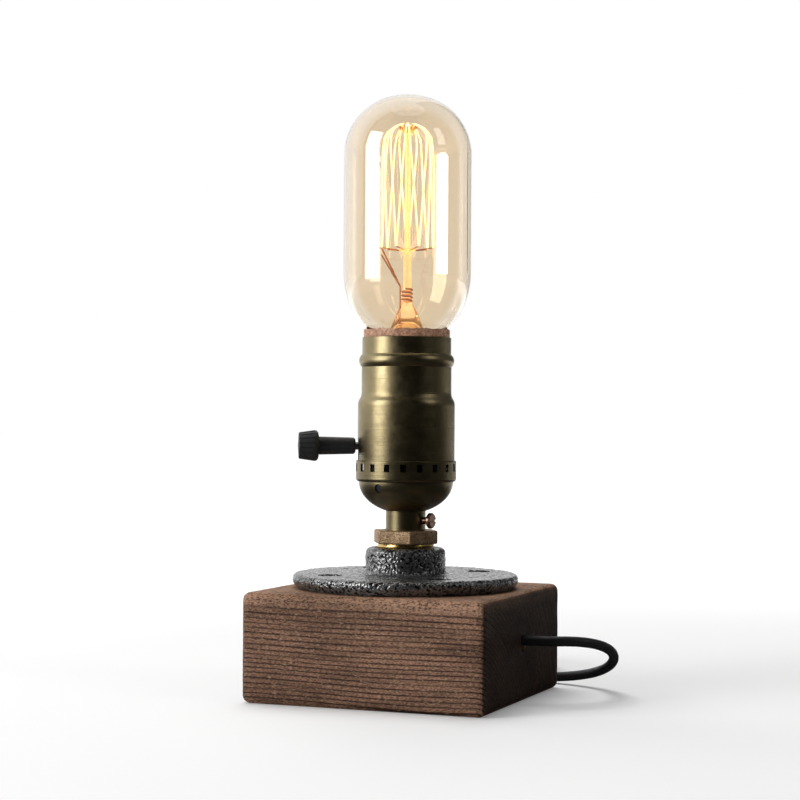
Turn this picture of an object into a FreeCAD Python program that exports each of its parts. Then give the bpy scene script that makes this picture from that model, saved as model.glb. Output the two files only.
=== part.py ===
import FreeCAD, Part
import math
import os

# Bare bulb table lamp: a wooden block, an iron pipe flange, a brass bushing,
# a turn-knob lamp holder, a tubular carbon-style bulb and a put-away cord.
# Millimetres.  Origin: middle of the block's underside.  +Z up, -Y is the lit
# long-grain front, +X is the end-grain side that the cord leaves from.

V = FreeCAD.Vector
Z_AXIS = V(0, 0, 1)

# ---------------------------------------------------------------- fits
running_clearance = 0.05      # radial, shafts and screwed joints
loose_clearance = 0.3         # pieces that lie beside each other
sheet_clearance = 0.1         # pressed sheet metal pushed together

# ---------------------------------------------------------------- wooden block
base_width = 88.0
base_depth = 84.0
base_height = 38.0
base_edge_radius = 2.6
wiring_bore_radius = 8.0
cord_hole_radius = 3.0
cord_hole_height = 20.5

# ---------------------------------------------------------------- iron flange
flange_radius = 40.0
flange_rim_height = 5.0
flange_draft = 0.5
flange_rim_rounding = 1.3
hub_radius = 14.1
hub_height = 14.2
hub_rounding = 2.0
hub_fillet = 1.8
hub_mouth_chamfer = 0.5
flange_hole_circle = 28.5     # radius of the circle the screws stand on
flange_screw_count = 4
flange_screw_angle = 45.0
flange_screw_sink = 0.5       # head lies this far under the face

screw_shank_radius = 1.9
screw_head_radius = 3.9
screw_head_height = 2.2
screw_length = 22.0
screw_point = 4.0
recess_length = 4.4
recess_width = 1.1
recess_depth = 1.3

# ---------------------------------------------------------------- hex bushing
pipe_thread_radius = 10.35
bushing_engagement = 9.0
collar_height = 1.4           # thread left showing over the hub
hex_across_flats = 21.0
hex_height = 4.7
hex_corner_bevel = 0.9
nipple_radius = 4.95
nipple_bore_radius = 3.4
nipple_in_bushing = 13.0
nipple_in_cap = 6.0

# ---------------------------------------------------------------- holder cap
cap_wall = 0.5
cap_neck_radius = 7.05
cap_dome_base = 17.1          # from the cap's foot up to the band
cap_dome_inset = 1.05         # dome's rim inside the band
dome_depth = 11.4
band_height = 7.4
band_step = 0.9
window_count = 19
window_width = 2.0
window_height = 2.7
window_below_lip = 3.8        # lip down to the windows' lower edge
window_angle = -72.0
dome_hole_radius = 1.6
dome_hole_angle = -104.5
dome_hole_below_band = 2.2
cap_paper = 0.5

set_screw_height = 3.5        # above the cap's foot
set_screw_angle = -8.0
set_screw_radius = 1.25
set_screw_head_radius = 2.75
set_screw_head = 1.3
set_screw_neck = 1.3
set_screw_reach = 9.6         # lamp axis to the underside of the head
set_screw_slot = 0.7
set_screw_edge = 0.4          # bevel round the head

# ---------------------------------------------------------------- holder shell
shell_wall = 0.4
shell_radius = 17.1
shell_lap = 5.2               # length pushed into the cap
shell_body_height = 19.6      # cap lip up to the shoulder
shoulder_height = 4.3
shoulder_step = 1.25          # neck inside the shell
rim_step = 0.15               # rim inside the neck
neck_height = 9.0
bead_swell = 0.95             # bead out of the neck
bead_height = 4.6
rim_height = 5.9
knob_slot_width = 6.0
paper_wall = 0.5
paper_stand = 3.0             # fibre tube standing above the rim
paper_over_windows = 0.4      # fibre tube's foot above the windows

# ---------------------------------------------------------------- switch works
works_gap = 0.5               # switch to the fibre tube
works_flat_depth = 2.8        # terminal flats, cut into the round switch
cover_height = 3.2
body_height = 18.0
works_lift = 0.8              # cover's underside below the shell's foot
pocket_size = 12.0
pocket_height = 13.0
rivet_radius = 1.0
rivet_head_radius = 1.7
rivet_head = 0.6
rivet_inset = 3.8             # rivets inside the edge of the switch
terminal_width = 7.0
terminal_height = 10.0
terminal_thickness = 0.8
terminal_screw_radius = 1.4
terminal_head_radius = 2.5
terminal_head = 1.6
terminal_slot_width = 0.7
terminal_screw_depth = 3.0
terminal_screw_rise = 9.0     # screw above the foot of the body
blade_thickness = 0.4
blade_width = 4.0
blade_inset = 1.2

screw_shell_inset = 0.55      # screw shell inside the edge of the switch
screw_shell_wall = 0.3
screw_shell_height = 27.5
screw_shell_hole = 4.6
contact_height = 2.9
contact_thickness = 0.4
contact_width = 3.6
contact_tongue = 2.6          # bent tongue past the lamp axis
contact_crown = 1.4           # flat that the bulb's tip presses on
contact_hook = 0.2            # tongue's end bent down
contact_bend = 0.3
contact_bend_height = 1.0

# ---------------------------------------------------------------- turn knob
knob_angle = 206.0
knob_height = 5.1             # above the cap's lip
shaft_radius = 1.4
rotor_radius = 4.0
rotor_length = 6.0
knob_gap = 0.9                # shell to the stem's rounded end
knob_stem_length = 13.3
knob_stem_radius = 2.9
knob_stem_root_radius = 3.2
knob_head_length = 6.7
knob_head_radius = 5.45
knob_tip_radius = 4.75
knob_ridges = 18
knob_ridge_depth = 0.35
knob_rim = 1.2                # plain collar before the ridges
knob_end_rounding = 0.6
knob_end_dome = 0.3
knob_end_swell = 0.2
knob_groove_radius = 0.56
knob_stem_flare = 0.3         # height of the stem's flare under the head
knob_shoulder = 0.8           # head's rounded shoulder, inwards
knob_shoulder_sink = 0.2      # its lower and upper edge, from the stem's end
knob_shoulder_rise = 0.4
knob_rim_step = 0.1

# ---------------------------------------------------------------- bulb
bulb_radius = 22.6
bulb_wall = 0.8
bulb_lower_depth = 25.6       # height of the elliptical lower end
bulb_straight = 41.6
bulb_crown_radius = 21.2
bulb_neck_gap = 0.25          # glass neck inside the cap's skirt
bulb_neck_length = 5.6
bulb_base_lift = 0.1          # tip contact over the holder's centre contact
tip_radius = 4.6
tip_height = 1.3
insulator_foot_radius = 5.3
insulator_height = 4.1
insulator_plug = 1.2
insulator_hollow = 0.5        # sag of its flank
cap_foot_length = 0.9
edison_gap = 0.25             # bulb's thread inside the screw shell
edison_depth = 0.8            # crest to root
edison_pitch = 3.629
edison_turns = 4
edison_skirt = 6.2
edison_wall = 0.35

stem_lip_gap = 0.3            # stem's lip to the glass neck
stem_lip_lift = 0.6           # stem's lip above the glass neck's foot
stem_wall = 0.8
stem_flare_bow = 2.2
stem_flare_height = 8.5
stem_press_radius = 3.4
stem_press_height = 7.0
stem_press_taper = 2.0
stem_rod_radius = 1.35
stem_button_height = 34.3     # above the glass neck's foot
stem_button_radius = 2.9
stem_button = 1.2
upper_rod_radius = 0.8
upper_bead_drop = 2.0         # below the top of the cage
upper_bead_radius = 2.1

strand_count = 14
strand_radius = 0.25
cage_radius = 9.8
cage_top_radius = 3.0
cage_under_crown = 9.4        # free space over the cage
cage_over_button = 1.4        # strands' lower ends above the button
support_radius = 0.2
support_gap = 0.1
hook_overlap = 0.5            # hooks reach this far under the strands
lead_radius = 0.3
lead_spacing = 1.5
wrap_turns = 3.5
wrap_pitch = 1.3
wrap_gap = 0.1
wrap_lift = 1.2               # first turn above the press
lead_bend_height = 22.2       # above the glass neck's foot
lead_over_plug = 1.5          # bends inside the cap, above the insulator
lead_side_gap = 0.4           # side lead inside the cap's wall
lead_side_lean = 1.0
lead_side_rise = 3.0
lead_angle = 201.6
lead_drop = 2.4                # the second lead ends this far below the first

# ---------------------------------------------------------------- cord
cord_radius = 1.75
conductor_radius = 0.95
wire_stub = 1.5               # conductors' straight start above the jacket
wire_turn_drop = 1.2          # their outer bend below the cap's band
cord_exit_height = 21.3
inner_bend_radius = 8.0
jacket_above_nipple = 0.6
floor_gap = 0.05
coil_gap = 0.45               # free space between neighbouring turns
coil_outer_radius = 24.75
coil_half_turns = 5           # half turns in each layer
coil_layers = 4

plug_length = 19.0
plug_width = 18.0
plug_thickness = 13.6
plug_rounding = 3.0
relief_length = 20.0
relief_radius = 3.6
relief_ribs = 5
relief_sleeve = 0.9           # wall of the relief where the cord enters
relief_rib_height = 0.3
plug_blade_length = 16.0
plug_blade_width = 6.3
plug_blade_thickness = 1.5
plug_blade_spacing = 12.7
plug_blade_root = 5.0
plug_turn = 35              # plug laid askew, away from the block
plug_lead = 7.0               # straight cord before the plug

# ---------------------------------------------------------------- radii
# The shell sets the holder: the cap fits over it, the fibre tube, the switch
# and the bulb's screw base fit inside it.
band_radius = shell_radius + sheet_clearance + cap_wall
dome_radius = band_radius - cap_dome_inset
neck_radius = shell_radius - shoulder_step
rim_radius = neck_radius - rim_step
bead_radius = neck_radius + bead_swell
paper_radius = rim_radius - shell_wall - sheet_clearance
works_radius = paper_radius - paper_wall - works_gap
works_flat = works_radius - works_flat_depth
rivet_circle = works_radius - rivet_inset
knob_foot = shell_radius + knob_gap
screw_shell_radius = works_radius - screw_shell_inset
edison_crest_radius = screw_shell_radius - screw_shell_wall - edison_gap
edison_root_radius = edison_crest_radius - edison_depth
insulator_top_radius = edison_root_radius - 2 * edison_wall
bulb_neck_radius = edison_crest_radius - edison_wall - bulb_neck_gap

# ---------------------------------------------------------------- heights
flange_foot = base_height
flange_face = flange_foot + flange_rim_height
hub_top = flange_foot + hub_height
hex_foot = hub_top + collar_height
cap_foot = hex_foot + hex_height
band_foot = cap_foot + cap_dome_base
cap_lip = band_foot + band_height
shell_foot = cap_lip - shell_lap
shoulder_foot = cap_lip + shell_body_height
neck_foot = shoulder_foot + shoulder_height
bead_foot = neck_foot + neck_height
bead_top = bead_foot + bead_height
rim_top = bead_top + rim_height
knob_axis_height = cap_lip + knob_height
cover_foot = shell_foot - works_lift
body_foot = cover_foot + cover_height
body_top = body_foot + body_height
contact_top = body_top + screw_shell_wall + contact_height
tip_foot = contact_top + bulb_base_lift
insulator_foot = tip_foot + tip_height + running_clearance
insulator_shoulder = insulator_foot + insulator_height
edison_foot = insulator_shoulder - cap_foot_length
edison_thread_foot = edison_foot + cap_foot_length
edison_thread_top = edison_thread_foot + edison_turns * edison_pitch
edison_top = edison_thread_top + edison_skirt
glass_foot = edison_top + loose_clearance - bulb_neck_length
bulb_belly = glass_foot + bulb_neck_length
bulb_belly += bulb_lower_depth * math.sqrt(1 - (bulb_neck_radius / bulb_radius) ** 2)
bulb_shoulder = bulb_belly + bulb_straight
cage_top = bulb_shoulder + bulb_crown_radius - bulb_wall - cage_under_crown
cage_foot = glass_foot + stem_button_height + cage_over_button
nipple_top = cap_foot + nipple_in_cap + running_clearance


# ---------------------------------------------------------------- helpers
def polar(radius, angle, height):
    turn = math.radians(angle)
    return V(radius * math.cos(turn), radius * math.sin(turn), height)


class Outline:
    """A half section in the X-Z plane that is spun about the Z axis."""

    def __init__(self, radius, height):
        self.start = V(radius, 0, height)
        self.here = self.start
        self.edges = []

    def line(self, radius, height):
        there = V(radius, 0, height)
        self.edges.append(Part.LineSegment(self.here, there).toShape())
        self.here = there
        return self

    def arc(self, middle_radius, middle_height, radius, height):
        there = V(radius, 0, height)
        middle = V(middle_radius, 0, middle_height)
        self.edges.append(Part.Arc(self.here, middle, there).toShape())
        self.here = there
        return self

    def swell(self, radius, height, bulge):
        """Arc to a point, its middle pushed sideways off the chord by bulge."""
        chord = V(radius, 0, height) - self.here
        side = V(chord.z, 0, -chord.x)
        side.normalize()
        middle = self.here + chord * 0.5 + side * bulge
        return self.arc(middle.x, middle.z, radius, height)

    def ogee(self, radius, height):
        """Two equal arcs that leave and arrive straight up or straight down."""
        rise = (height - self.here.z) / 2
        step = (radius - self.here.x) / 2
        turn = (rise * rise + step * step) / (2 * abs(step))
        lean = math.asin(min(1.0, abs(rise) / turn)) / 2
        reach = turn * (1 - math.cos(lean)) * (1 if step > 0 else -1)
        climb = turn * math.sin(lean) * (1 if rise > 0 else -1)
        here = V(self.here)
        self.arc(here.x + reach, here.z + climb, here.x + step, here.z + rise)
        return self.arc(radius - reach, height - climb, radius, height)

    def ellipse(self, long_radius, depth, middle_height, radius, height):
        """Quarter-ellipse stretch about a centre on the axis."""
        there = V(radius, 0, height)
        lower = self.here.z < middle_height or height < middle_height
        sign = -1 if lower else 1
        if long_radius >= depth:
            major = V(long_radius, 0, middle_height)
            minor = V(0, 0, middle_height + sign * depth)
        else:
            major = V(0, 0, middle_height + sign * depth)
            minor = V(long_radius, 0, middle_height)
        curve = Part.Ellipse(major, minor, V(0, 0, middle_height))
        first = curve.parameter(self.here)
        last = curve.parameter(there)
        if abs(last - first) > math.pi:
            if last < first:
                last += 2 * math.pi
            else:
                first += 2 * math.pi
        edge = curve.toShape(min(first, last), max(first, last))
        self.edges.append(edge)
        self.here = there
        return self

    def spin(self):
        if (self.here - self.start).Length > 1e-6:
            self.line(self.start.x, self.start.z)
        wire = Part.Wire(Part.__sortEdges__(self.edges))
        solid = Part.Face(wire).revolve(V(0, 0, 0), Z_AXIS, 360)
        if solid.Volume < 0:
            solid.reverse()
        return solid


def tube(outer, inner, foot, top):
    shape = Part.makeCylinder(outer, top - foot, V(0, 0, foot))
    if inner > 0:
        shape = shape.cut(Part.makeCylinder(inner, top - foot, V(0, 0, foot)))
    return shape


def rod(radius, start, end):
    return Part.makeCylinder(radius, (end - start).Length, start, end - start)


def block(x_low, x_high, y_low, y_high, z_low, z_high):
    size = V(x_high - x_low, y_high - y_low, z_high - z_low)
    return Part.makeBox(size.x, size.y, size.z, V(x_low, y_low, z_low))


def turned(shape, angle, height=0.0):
    """Turn a piece that was drawn along +X to its place round the lamp axis."""
    copy = shape.copy()
    copy.rotate(V(0, 0, 0), Z_AXIS, angle)
    copy.translate(V(0, 0, height))
    return copy


def laid(shape):
    """Lay a piece that was spun about Z down along +X."""
    copy = shape.copy()
    copy.rotate(V(0, 0, 0), V(0, 1, 0), 90)
    return copy


def bent_wire(points, radius):
    """Round wire with a ball at each bend, its poles beside the bend."""
    shape = rod(radius, points[0], points[1])
    for before, bend, after in zip(points, points[1:], points[2:]):
        poles = (bend - before).cross(after - bend)
        shape = shape.fuse(Part.makeSphere(radius, bend, poles))
        shape = shape.fuse(rod(radius, bend, after))
    return shape.removeSplitter()


def drawn_wire(points, radius):
    """Thin round wire along straight runs, its corners rounded."""
    round_corners = 2
    wire = Part.makePolygon(points)
    section = Part.Wire(Part.Circle(points[0], points[1] - points[0], radius).toShape())
    return wire.makePipeShell([section], True, False, round_corners)


def leaf(points, thickness, width):
    """Flat spring: a thin strip along a line in the X-Z plane."""
    upper = []
    lower = []
    for index, point in enumerate(points):
        before = points[max(index - 1, 0)]
        after = points[min(index + 1, len(points) - 1)]
        along = after - before
        side = V(-along.z, 0, along.x)
        side.normalize()
        first = point - before if index else after - point
        first.normalize()
        lean = abs(first.cross(side).Length)
        half = thickness / 2 / max(lean, 0.5)
        upper.append(point + side * half)
        lower.append(point - side * half)
    corners = upper + lower[::-1]
    face = Part.Face(Part.makePolygon(corners + corners[:1]))
    face.translate(V(0, -width / 2, 0))
    return face.extrude(V(0, width, 0))


def ellipse_height(long_radius, depth, radius):
    """How far below the ellipse's middle its wall has the given radius."""
    return depth * math.sqrt(1 - (radius / long_radius) ** 2)


# ---------------------------------------------------------------- base pieces
def screw_places():
    step = 360.0 / flange_screw_count
    return [flange_screw_angle + step * index for index in range(flange_screw_count)]


def make_wood_base():
    x_half = base_width / 2
    y_half = base_depth / 2
    shape = block(-x_half, x_half, -y_half, y_half, 0, base_height)
    shape = shape.makeFillet(base_edge_radius, shape.Edges)
    shape = shape.cut(tube(wiring_bore_radius, 0, -1, base_height + 1))
    side_start = V(0, 0, cord_hole_height)
    side_end = V(x_half + 1, 0, cord_hole_height)
    shape = shape.cut(rod(cord_hole_radius, side_start, side_end))
    for angle in screw_places():
        pilot = make_one_screw(running_clearance)
        shape = shape.cut(turned(pilot, angle))
    return shape


def make_one_screw(swelling):
    """Countersunk wood screw at angle zero, or its hole when swollen."""
    top = flange_face - flange_screw_sink
    shank = screw_shank_radius + swelling
    outline = Outline(0, top - screw_length)
    outline.line(shank, top - screw_length + screw_point)
    outline.line(shank, top - screw_head_height)
    outline.line(screw_head_radius + swelling, top)
    if swelling > 0:
        outline.line(screw_head_radius + swelling, top + 2)
        outline.line(0, top + 2)
    else:
        outline.line(0, top)
    shape = outline.spin()
    if swelling == 0:
        for turn in (0, 90):
            half = recess_length / 2
            slot = block(-half, half, -recess_width / 2, recess_width / 2, top - recess_depth, top + 1)
            shape = shape.cut(turned(slot, turn))
    shape.translate(V(flange_hole_circle, 0, 0))
    return shape


def make_floor_flange():
    inner = pipe_thread_radius + running_clearance
    rim_foot = flange_foot
    rim_top_radius = flange_radius - flange_draft
    face_start = rim_top_radius - flange_rim_rounding
    outline = Outline(inner, rim_foot)
    outline.line(flange_radius, rim_foot)
    outline.line(rim_top_radius, flange_face - flange_rim_rounding)
    lean = flange_rim_rounding * (1 - math.sqrt(0.5))
    outline.arc(rim_top_radius - lean, flange_face - lean, face_start, flange_face)
    bend = hub_fillet * (1 - math.sqrt(0.5))
    outline.line(hub_radius + hub_fillet, flange_face)
    outline.arc(hub_radius + bend, flange_face + bend, hub_radius, flange_face + hub_fillet)
    outline.line(hub_radius, hub_top - hub_rounding)
    turn = hub_rounding * (1 - math.sqrt(0.5))
    outline.arc(hub_radius - turn, hub_top - turn, hub_radius - hub_rounding, hub_top)
    outline.line(inner + hub_mouth_chamfer, hub_top)
    outline.line(inner, hub_top - hub_mouth_chamfer)
    shape = outline.spin()
    for angle in screw_places():
        shape = shape.cut(turned(make_one_screw(running_clearance), angle))
    return shape


def make_flange_screws():
    screws = [turned(make_one_screw(0), angle) for angle in screw_places()]
    return Part.makeCompound(screws)


def make_hex_bushing():
    corner = hex_across_flats / 2 / math.cos(math.radians(30))
    corners = [polar(corner, 60 * index, hex_foot) for index in range(7)]
    head = Part.Face(Part.makePolygon(corners)).extrude(V(0, 0, hex_height))
    slope = hex_corner_bevel * math.tan(math.radians(30))
    trim = Outline(0, hex_foot)
    trim.line(corner - hex_corner_bevel, hex_foot)
    trim.line(corner, hex_foot + slope)
    trim.line(corner, cap_foot - slope)
    trim.line(corner - hex_corner_bevel, cap_foot)
    trim.line(0, cap_foot)
    head = head.common(trim.spin())
    thread = tube(pipe_thread_radius, 0, hub_top - bushing_engagement, hex_foot)
    shape = head.fuse(thread)
    bore = nipple_radius + running_clearance
    return shape.cut(tube(bore, 0, hub_top - bushing_engagement - 1, cap_foot + 1))


def make_lamp_nipple():
    return tube(nipple_radius, nipple_bore_radius, cap_foot - nipple_in_bushing, nipple_top)


# ---------------------------------------------------------------- holder pieces
def window_tool(width, height):
    """One locking window, cut outwards through the band."""
    foot = cap_lip - window_below_lip - (height - window_height) / 2
    inner = shell_radius - shell_wall - 1
    return block(inner, band_radius + 1, -width / 2, width / 2, foot, foot + height)


def cut_windows(shape, spare):
    step = 360.0 / window_count
    for index in range(window_count):
        tool = window_tool(window_width + spare, window_height + spare)
        shape = shape.cut(turned(tool, window_angle + step * index))
    return shape


def make_socket_cap():
    bore = nipple_radius + running_clearance
    inner_radius = dome_radius - cap_wall
    inner_depth = dome_depth - cap_wall
    neck_top = band_foot - ellipse_height(dome_radius, dome_depth, cap_neck_radius)
    floor = band_foot - ellipse_height(inner_radius, inner_depth, bore)
    band_inner = shell_radius + sheet_clearance
    outline = Outline(bore, cap_foot)
    outline.line(cap_neck_radius, cap_foot)
    outline.line(cap_neck_radius, neck_top)
    outline.ellipse(dome_radius, dome_depth, band_foot, dome_radius, band_foot)
    outline.swell(band_radius, band_foot + band_step, 0.25)
    outline.line(band_radius, cap_lip - cap_wall / 2)
    outline.swell(band_inner, cap_lip - cap_wall / 2, cap_wall / 2)
    outline.line(band_inner, band_foot + band_step)
    outline.line(inner_radius, band_foot)
    outline.ellipse(inner_radius, inner_depth, band_foot, bore, floor)
    shape = cut_windows(outline.spin(), 0)
    hole_height = band_foot - dome_hole_below_band
    hole = rod(dome_hole_radius, V(0, 0, 0), V(band_radius, 0, 0))
    shape = shape.cut(turned(hole, dome_hole_angle, hole_height))
    screw_hole = rod(set_screw_radius + running_clearance, V(0, 0, 0), V(cap_neck_radius + 1, 0, 0))
    return shape.cut(turned(screw_hole, set_screw_angle, cap_foot + set_screw_height))


def make_cap_liner():
    outer = dome_radius - cap_wall - sheet_clearance
    depth = dome_depth - cap_wall - sheet_clearance
    inner = outer - cap_paper
    inner_depth = depth - cap_paper
    mouth = nipple_radius + 2 * loose_clearance
    outline = Outline(mouth, band_foot - ellipse_height(outer, depth, mouth))
    outline.ellipse(outer, depth, band_foot, outer, band_foot)
    outline.line(inner, band_foot)
    outline.ellipse(inner, inner_depth, band_foot, mouth, band_foot - ellipse_height(inner, inner_depth, mouth))
    return outline.spin()


def make_set_screw():
    outline = Outline(0, nipple_radius + running_clearance)
    outline.line(set_screw_radius, nipple_radius + running_clearance)
    outline.line(set_screw_radius, set_screw_reach - set_screw_neck)
    outline.line(set_screw_head_radius, set_screw_reach)
    head_top = set_screw_reach + set_screw_head
    outline.line(set_screw_head_radius, head_top - set_screw_edge)
    outline.line(set_screw_head_radius - set_screw_edge, head_top)
    outline.line(0, head_top)
    shape = outline.spin()
    half = set_screw_slot / 2
    slot = block(-half, half, -set_screw_head_radius, set_screw_head_radius, head_top - set_screw_slot, head_top + 1)
    shape = laid(shape.cut(slot))
    return turned(shape, set_screw_angle, cap_foot + set_screw_height)


def make_socket_shell():
    wall = shell_wall
    outline = Outline(shell_radius - wall, shell_foot)
    outline.line(shell_radius, shell_foot)
    outline.line(shell_radius, shoulder_foot)
    outline.ogee(neck_radius, neck_foot)
    outline.line(neck_radius, bead_foot)
    outline.swell(rim_radius, bead_top, bead_radius - (neck_radius + rim_radius) / 2)
    outline.line(rim_radius, rim_top - wall / 2)
    outline.swell(rim_radius - wall, rim_top - wall / 2, wall / 2)
    outline.line(rim_radius - wall, bead_top)
    outline.swell(neck_radius - wall, bead_foot, (neck_radius + rim_radius) / 2 - bead_radius)
    outline.line(neck_radius - wall, neck_foot)
    outline.ogee(shell_radius - wall, shoulder_foot)
    shape = outline.spin()
    shape = cut_windows(shape, sheet_clearance * 4)
    half = knob_slot_width / 2
    slot = block(works_radius, shell_radius + 1, -half, half, shell_foot - 1, knob_axis_height)
    round_end = rod(half, V(works_radius, 0, knob_axis_height), V(shell_radius + 1, 0, knob_axis_height))
    return shape.cut(turned(slot.fuse(round_end), knob_angle))


def make_shell_liner():
    foot = cap_lip - window_below_lip + window_height + paper_over_windows
    shape = tube(paper_radius, paper_radius - paper_wall, foot, rim_top + paper_stand)
    half = knob_slot_width / 2
    slot = block(works_radius - 1, paper_radius + 1, -half, half, foot - 1, knob_axis_height + half)
    return shape.cut(turned(slot, knob_angle))


def trim_flats(shape):
    """Flats at right angles to the switch shaft, where the terminals sit."""
    size = 2 * works_radius
    keep = block(-size, size, -works_flat, works_flat, cover_foot - 1, body_top + 1)
    return shape.common(keep)


def rivet_spots():
    return [polar(rivet_circle, 135, 0), polar(rivet_circle, -45, 0)]


def make_switch_body():
    shape = trim_flats(tube(works_radius, 0, body_foot, body_top))
    half = pocket_size / 2
    shape = shape.cut(block(-half, half, -half, half, body_foot - 1, body_foot + pocket_height))
    bore = shaft_radius + running_clearance
    shape = shape.cut(rod(bore, V(0, 0, knob_axis_height), V(works_radius + 1, 0, knob_axis_height)))
    for spot in rivet_spots():
        hole = tube(rivet_radius + running_clearance, 0, body_foot - 1, body_top + 1)
        hole.translate(spot)
        shape = shape.cut(hole)
    screw_height = body_foot + terminal_screw_rise
    for side in (-1, 1):
        start = V(0, side * (works_flat - terminal_screw_depth - 0.5), screw_height)
        end = V(0, side * (works_flat + 1), screw_height)
        shape = shape.cut(rod(terminal_screw_radius + running_clearance, start, end))
    return turned(shape, knob_angle)


def make_switch_cover():
    shape = trim_flats(tube(works_radius, 0, cover_foot, body_foot))
    for spot in rivet_spots():
        hole = tube(rivet_radius + running_clearance, 0, cover_foot - 1, body_foot + 1)
        hole.translate(spot)
        shape = shape.cut(hole)
    return turned(shape, knob_angle)


def make_body_rivets():
    rivets = []
    floor = body_top + screw_shell_wall
    for spot in rivet_spots():
        rivet = tube(rivet_radius, 0, cover_foot - rivet_head, floor + rivet_head)
        rivet = rivet.fuse(tube(rivet_head_radius, 0, cover_foot - rivet_head, cover_foot))
        rivet = rivet.fuse(tube(rivet_head_radius, 0, floor, floor + rivet_head))
        rivet.translate(spot)
        rivets.append(turned(rivet, knob_angle))
    return Part.makeCompound(rivets)


def make_switch_shaft():
    start = V(-rotor_length / 2, 0, 0)
    end = V(knob_foot + knob_stem_length, 0, 0)
    return turned(rod(shaft_radius, start, end), knob_angle, knob_axis_height)


def make_switch_rotor():
    half = rotor_length / 2
    shape = rod(rotor_radius, V(-half, 0, 0), V(half, 0, 0))
    shape = shape.cut(rod(shaft_radius, V(-half - 1, 0, 0), V(half + 1, 0, 0)))
    return turned(shape, knob_angle, knob_axis_height)


def make_switch_contacts():
    """Two leaf blades that stand in the pocket, one each side of the rotor."""
    blades = []
    wall = pocket_size / 2 - running_clearance
    stand = wall - blade_thickness
    for side in (-1, 1):
        low = min(side * wall, side * stand)
        foot = body_foot
        top = body_foot + pocket_height - blade_inset
        half = blade_width / 2
        blades.append(turned(block(-half, half, low, low + blade_thickness, foot, top), knob_angle))
    return Part.makeCompound(blades)


def make_terminal_plates():
    plates = []
    screw_height = body_foot + terminal_screw_rise
    for side in (-1, 1):
        low = min(side * works_flat, side * (works_flat + terminal_thickness))
        half = terminal_width / 2
        plate = block(-half, half, low, low + terminal_thickness,
                      screw_height - terminal_height / 2, screw_height + terminal_height / 2)
        start = V(0, low - 1, screw_height)
        end = V(0, low + terminal_thickness + 1, screw_height)
        plate = plate.cut(rod(terminal_screw_radius + running_clearance, start, end))
        plates.append(turned(plate, knob_angle))
    return Part.makeCompound(plates)


def make_terminal_screws():
    screws = []
    screw_height = body_foot + terminal_screw_rise
    seat = works_flat + terminal_thickness
    for side in (-1, 1):
        inner = V(0, side * (works_flat - terminal_screw_depth), screw_height)
        under = V(0, side * seat, screw_height)
        outer = V(0, side * (seat + terminal_head), screw_height)
        screw = rod(terminal_screw_radius, inner, under).fuse(rod(terminal_head_radius, under, outer))
        low = min(side * (seat + terminal_head / 2), side * (seat + terminal_head + 1))
        slot = block(-terminal_head_radius, terminal_head_radius, low, low + terminal_head / 2 + 1,
                     screw_height - terminal_slot_width / 2, screw_height + terminal_slot_width / 2)
        screws.append(turned(screw.cut(slot), knob_angle))
    return Part.makeCompound(screws)


def make_screw_shell():
    inner = screw_shell_radius - screw_shell_wall
    floor = body_top + screw_shell_wall
    shape = tube(screw_shell_radius, inner, floor, body_top + screw_shell_height)
    shape = shape.fuse(tube(screw_shell_radius, screw_shell_hole, body_top, floor))
    for spot in rivet_spots():
        hole = tube(rivet_radius + running_clearance, 0, body_top - 1, floor + 1)
        hole.translate(spot)
        shape = shape.cut(turned(hole, knob_angle))
    return shape


def make_centre_contact():
    """Bent brass tongue riveted to the middle of the switch body."""
    half = contact_thickness / 2
    reach = screw_shell_hole - 1
    low = body_top + half
    high = contact_top - half
    crown = contact_crown - contact_tongue
    points = [V(-reach, 0, low), V(reach, 0, low), V(reach - contact_bend, 0, low + contact_bend_height),
              V(crown, 0, high), V(-contact_tongue, 0, high - contact_hook)]
    return leaf(points, contact_thickness, contact_width)


def make_turn_knob():
    """Ridged head on a tapered stem, moulded as one piece."""
    stem_end = knob_foot + knob_stem_length
    head_end = stem_end + knob_head_length
    rounding = knob_end_rounding
    bore = shaft_radius
    outline = Outline(bore, knob_foot)
    outline.line(knob_stem_radius - rounding, knob_foot)
    outline.line(knob_stem_radius, knob_foot + rounding)
    outline.line(knob_stem_root_radius, stem_end - knob_shoulder_sink - knob_stem_flare)
    outline.line(knob_head_radius - knob_shoulder, stem_end - knob_shoulder_sink)
    outline.line(knob_head_radius - knob_rim_step, stem_end + knob_shoulder_rise)
    outline.line(knob_head_radius, stem_end + knob_rim)
    outline.line(knob_tip_radius, head_end - rounding)
    outline.swell(knob_tip_radius - rounding, head_end, knob_end_swell)
    outline.line(0, head_end + knob_end_dome)
    outline.line(0, stem_end)
    outline.line(bore, stem_end)
    shape = outline.spin()
    step = 360.0 / knob_ridges
    slope = math.degrees(math.atan2(knob_head_radius - knob_tip_radius, knob_head_length))
    for index in range(knob_ridges):
        groove = Part.makeCylinder(knob_groove_radius, knob_head_length)
        groove.rotate(V(0, 0, 0), V(0, 1, 0), -slope)
        offset = knob_head_radius + knob_groove_radius - knob_ridge_depth
        groove.translate(V(offset, 0, stem_end + knob_rim))
        shape = shape.cut(turned(groove, step * index))
    return turned(laid(shape), knob_angle, knob_axis_height)


# ---------------------------------------------------------------- bulb pieces
def make_bulb_tip():
    outline = Outline(0, tip_foot)
    top = tip_foot + tip_height
    outline.arc(tip_radius * 0.6, tip_foot + tip_height * 0.22, tip_radius, tip_foot + tip_height * 0.7)
    outline.line(tip_radius, top)
    outline.line(0, top)
    return outline.spin()


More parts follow.
